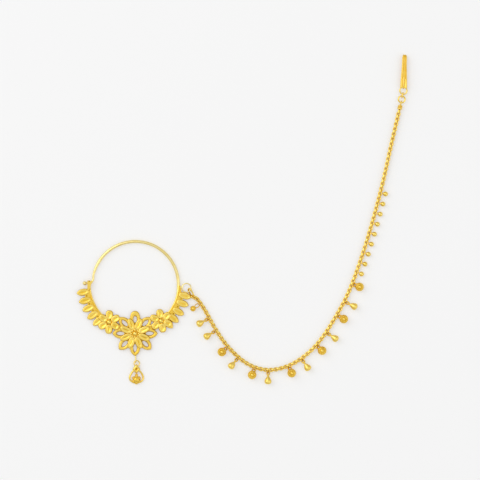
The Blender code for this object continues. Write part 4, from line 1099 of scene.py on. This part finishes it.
def hair_end():
    """Make the cap, rings and hook at the hair end."""
    chain_end, direction = on_route(ROUTE_LENGTH)
    cap_start = chain_end + direction * GAP
    heading = math.degrees(math.atan2(direction.y, direction.x))
    cap_start.z = max(CAP_WIDTH, CAP_LOOP) / 2
    body = turned([(CAP_WIDTH * wide, CAP_LENGTH * down) for wide, down in CAP_PROFILE], 32)
    stand = at(cap_start + direction * CAP_LENGTH, heading) @ Matrix.Rotation(math.radians(90.0), 4, "Y")
    loop_centre = cap_start + direction * (CAP_LENGTH + CAP_LOOP / 2 - LOOP_SINK)
    cap_loop = moved(round_ring(CAP_LOOP, LOOP_WIRE), at(loop_centre, heading, 90.0))
    piece("cap_gold", [moved(body, stand), cap_loop], BRIGHT, "chain_end_cap")

    forward = polar(Vector(), 1.0, RING_HEADING)
    ring_centre = loop_centre + forward * (CAP_LOOP / 2 - LOOP_WIRE - LINK_GAP - RING_WIRE + END_RING / 2)
    piece("end_ring_gold", [moved(round_ring(END_RING, RING_WIRE), at(ring_centre))], RICH,
          "end_ring")

    link_start = ring_centre + forward * (END_RING / 2 - RING_WIRE - LINK_GAP - LOOP_WIRE)
    link_middle = link_start + forward * (HOOK_LINK / 2)
    link = moved(long_link(HOOK_LINK, CAP_LOOP, LOOP_WIRE), at(link_middle, RING_HEADING, 90.0))
    piece("hook_link_gold", [link], RICH, "hook_link")

    link_end = link_start + forward * (HOOK_LINK - LOOP_WIRE - LINK_GAP - RING_WIRE)
    hook_ring_centre = link_end + forward * (HOOK_RING / 2)
    hook_forward = polar(Vector(), 1.0, HOOK_HEADING)
    foot = hook_ring_centre + hook_forward * (HOOK_RING / 2 - RING_WIRE)
    foot.z = 0.0
    face = HOOK_SHEET * 2 + HOOK_THROAT
    shank_path = [(-RING_WIRE / 2, 0.0, ring_centre.z)]
    shank_path += [(HOOK_SHANK * share, 0.0, face) for share in SHANK_SHARES]
    shank = wire(shank_path, HOOK_SHANK_WIRE, sides=16)
    shapes = [moved(hook_strip(), at(foot, HOOK_HEADING)), moved(shank, at(foot, HOOK_HEADING)),
              moved(round_ring(HOOK_RING, RING_WIRE), at(hook_ring_centre))]
    piece("hook_gold", shapes, SATIN, "hair_hook")


def dress_front():
    """Make the soldered front in finer gold."""
    piece("nose_wire", nose_wire(), WIRE_GOLD, "nath_front")
    piece("band_and_catch", band() + catch(), RICH, "nath_front", sharp=30.0)
    parts = [("band_leaves", leaves(), RICH)]
    for number, (angle, turn) in enumerate(zip(SIDE_FLOWER_ANGLES, SIDE_FLOWER_TURNS), 1):
        parts.append((f"side_flower_{number}", side_flower(angle, turn), RICH))
    parts += [("centre_flower", centre_flower(), RICH), ("rosette", rosette(), BRIGHT),
              ("fixed_loops", fixed_loops(), WIRE_GOLD)]
    for name, shapes, metal in parts:
        piece(name, shapes, metal, "nath_front")


def dress_drop():
    """Make the loose ring and the main drop in finer gold."""
    ring = moved(round_ring(DROP_RING, LOOP_WIRE), at(drop_ring_centre()))
    piece("drop_ring_gold", [ring], RICH, "drop_ring")
    metalwork, cluster = main_drop()
    piece("drop_frame_gold", metalwork, RICH, "main_drop")
    piece("drop_cluster", cluster, GRAINY, "main_drop")


def hang(name, number, shapes, share, height, metal, node):
    """Make one charm beside the chain."""
    place = off_chain(share, height)
    shapes = [moved(shape, place) for shape in shapes]
    piece(f"{name}_{number}", shapes, metal, f"{node}_{number}")


def dress_chain():
    """Make the links and the charms beside them."""
    piece("chain_links", chain(), BRIGHT, "chain")
    piece("first_link_gold", first_link(), RICH, "chain_first_link")
    for number, share in enumerate(TEARDROP_SHARES, 1):
        hang("drop_charm", number, teardrop(), share, TEARDROP_WIDTH / 2, SATIN, "teardrop")
    for number, share in enumerate(BALL_SHARES, 1):
        diameter = FIRST_BALL_CHARM if number == 1 else BALL_CHARM
        loop = FIRST_CHARM_LOOP if number == 1 else CHARM_LOOP
        hang("grain_charm", number, ball_charm(diameter, loop), share, diameter * BALL_SQUASH / 2, GRAINY,
             "ball_charm")
    for index in range(SMALL_BALLS):
        share = FIRST_SMALL_SHARE + (LAST_SMALL_SHARE - FIRST_SMALL_SHARE) * index / (SMALL_BALLS - 1)
        hang("bead", index + 1, small_ball(), share, CHAIN_WIDTH / 2 + LINK_GAP, BRIGHT, "small_ball")


def area_light(name, offset, size, power):
    """Add one soft light aimed at the middle of the view, and hidden from the camera."""
    lamp = bpy.data.lights.new(name, "AREA")
    lamp.shape = "SQUARE"
    lamp.size = size
    lamp.energy = power
    shown = show(name, lamp)
    shown.location = VIEW_CENTRE + offset
    shown.rotation_euler = (-offset).to_track_quat("-Z", "Y").to_euler()
    shown.visible_camera = False


def grey(level):
    """Return a grey colour."""
    return level, level, level, 1.0


def lay_floor():
    """Make the floor of pale paper."""
    corners = ((-1, -1), (1, -1), (1, 1), (-1, 1))
    mesh = bpy.data.meshes.new("floor")
    mesh.from_pydata([(FLOOR_REACH * x, FLOOR_REACH * y, 0.0) for x, y in corners], [], [(0, 1, 2, 3)])
    floor = show("floor", mesh)
    floor.location = (VIEW_CENTRE.x, VIEW_CENTRE.y, -FLOOR_DROP)
    paper = bpy.data.materials.new("pale_paper")
    paper.use_nodes = True
    with_inputs(paper.node_tree.nodes["Principled BSDF"], {
        "Base Color": grey(FLOOR_TONE), "Emission Color": grey(1.0), "Emission Strength": FLOOR_GLOW,
        "Roughness": 1.0, "Specular IOR Level": 0.0,
    })
    mesh.materials.append(paper)


def light_room():
    """Make the soft light of the room, paler overhead, and the two lamps."""
    world = bpy.data.worlds.new("soft_room")
    world.use_nodes = True
    nodes, links = world.node_tree.nodes, world.node_tree.links
    background = nodes["Background"]
    place = nodes.new("ShaderNodeTexCoord")
    split = nodes.new("ShaderNodeSeparateXYZ")
    links.new(place.outputs["Generated"], split.inputs[0])
    ramp = nodes.new("ShaderNodeValToRGB")
    stops = ramp.color_ramp.elements
    for position, level in ROOM_LEVELS[1:-1]:
        stops.new(position).color = grey(level)
    stops[0].color = grey(ROOM_LEVELS[0][1])
    stops[-1].color = grey(ROOM_LEVELS[-1][1])
    links.new(split.outputs["Z"], ramp.inputs[0])
    links.new(ramp.outputs[0], background.inputs[0])
    background.inputs[1].default_value = 1.0
    bpy.context.scene.world = world
    for lamp in LIGHTS:
        area_light(*lamp)


def set_camera():
    """Make the camera that looks straight down."""
    lens = bpy.data.cameras.new("camera")
    lens.type = "PERSP"
    lens.sensor_width = SENSOR
    lens.lens = SENSOR * CAMERA_HEIGHT / VIEW_WIDTH
    lens.clip_start, lens.clip_end = CLIP
    camera = show("camera", lens)
    camera.location = (VIEW_CENTRE.x, VIEW_CENTRE.y, CAMERA_HEIGHT)
    bpy.context.scene.camera = camera
    bpy.context.scene.view_settings.view_transform = "Standard"


dress_front()
dress_drop()
dress_chain()
hair_end()
lay_floor()
light_room()
set_camera()
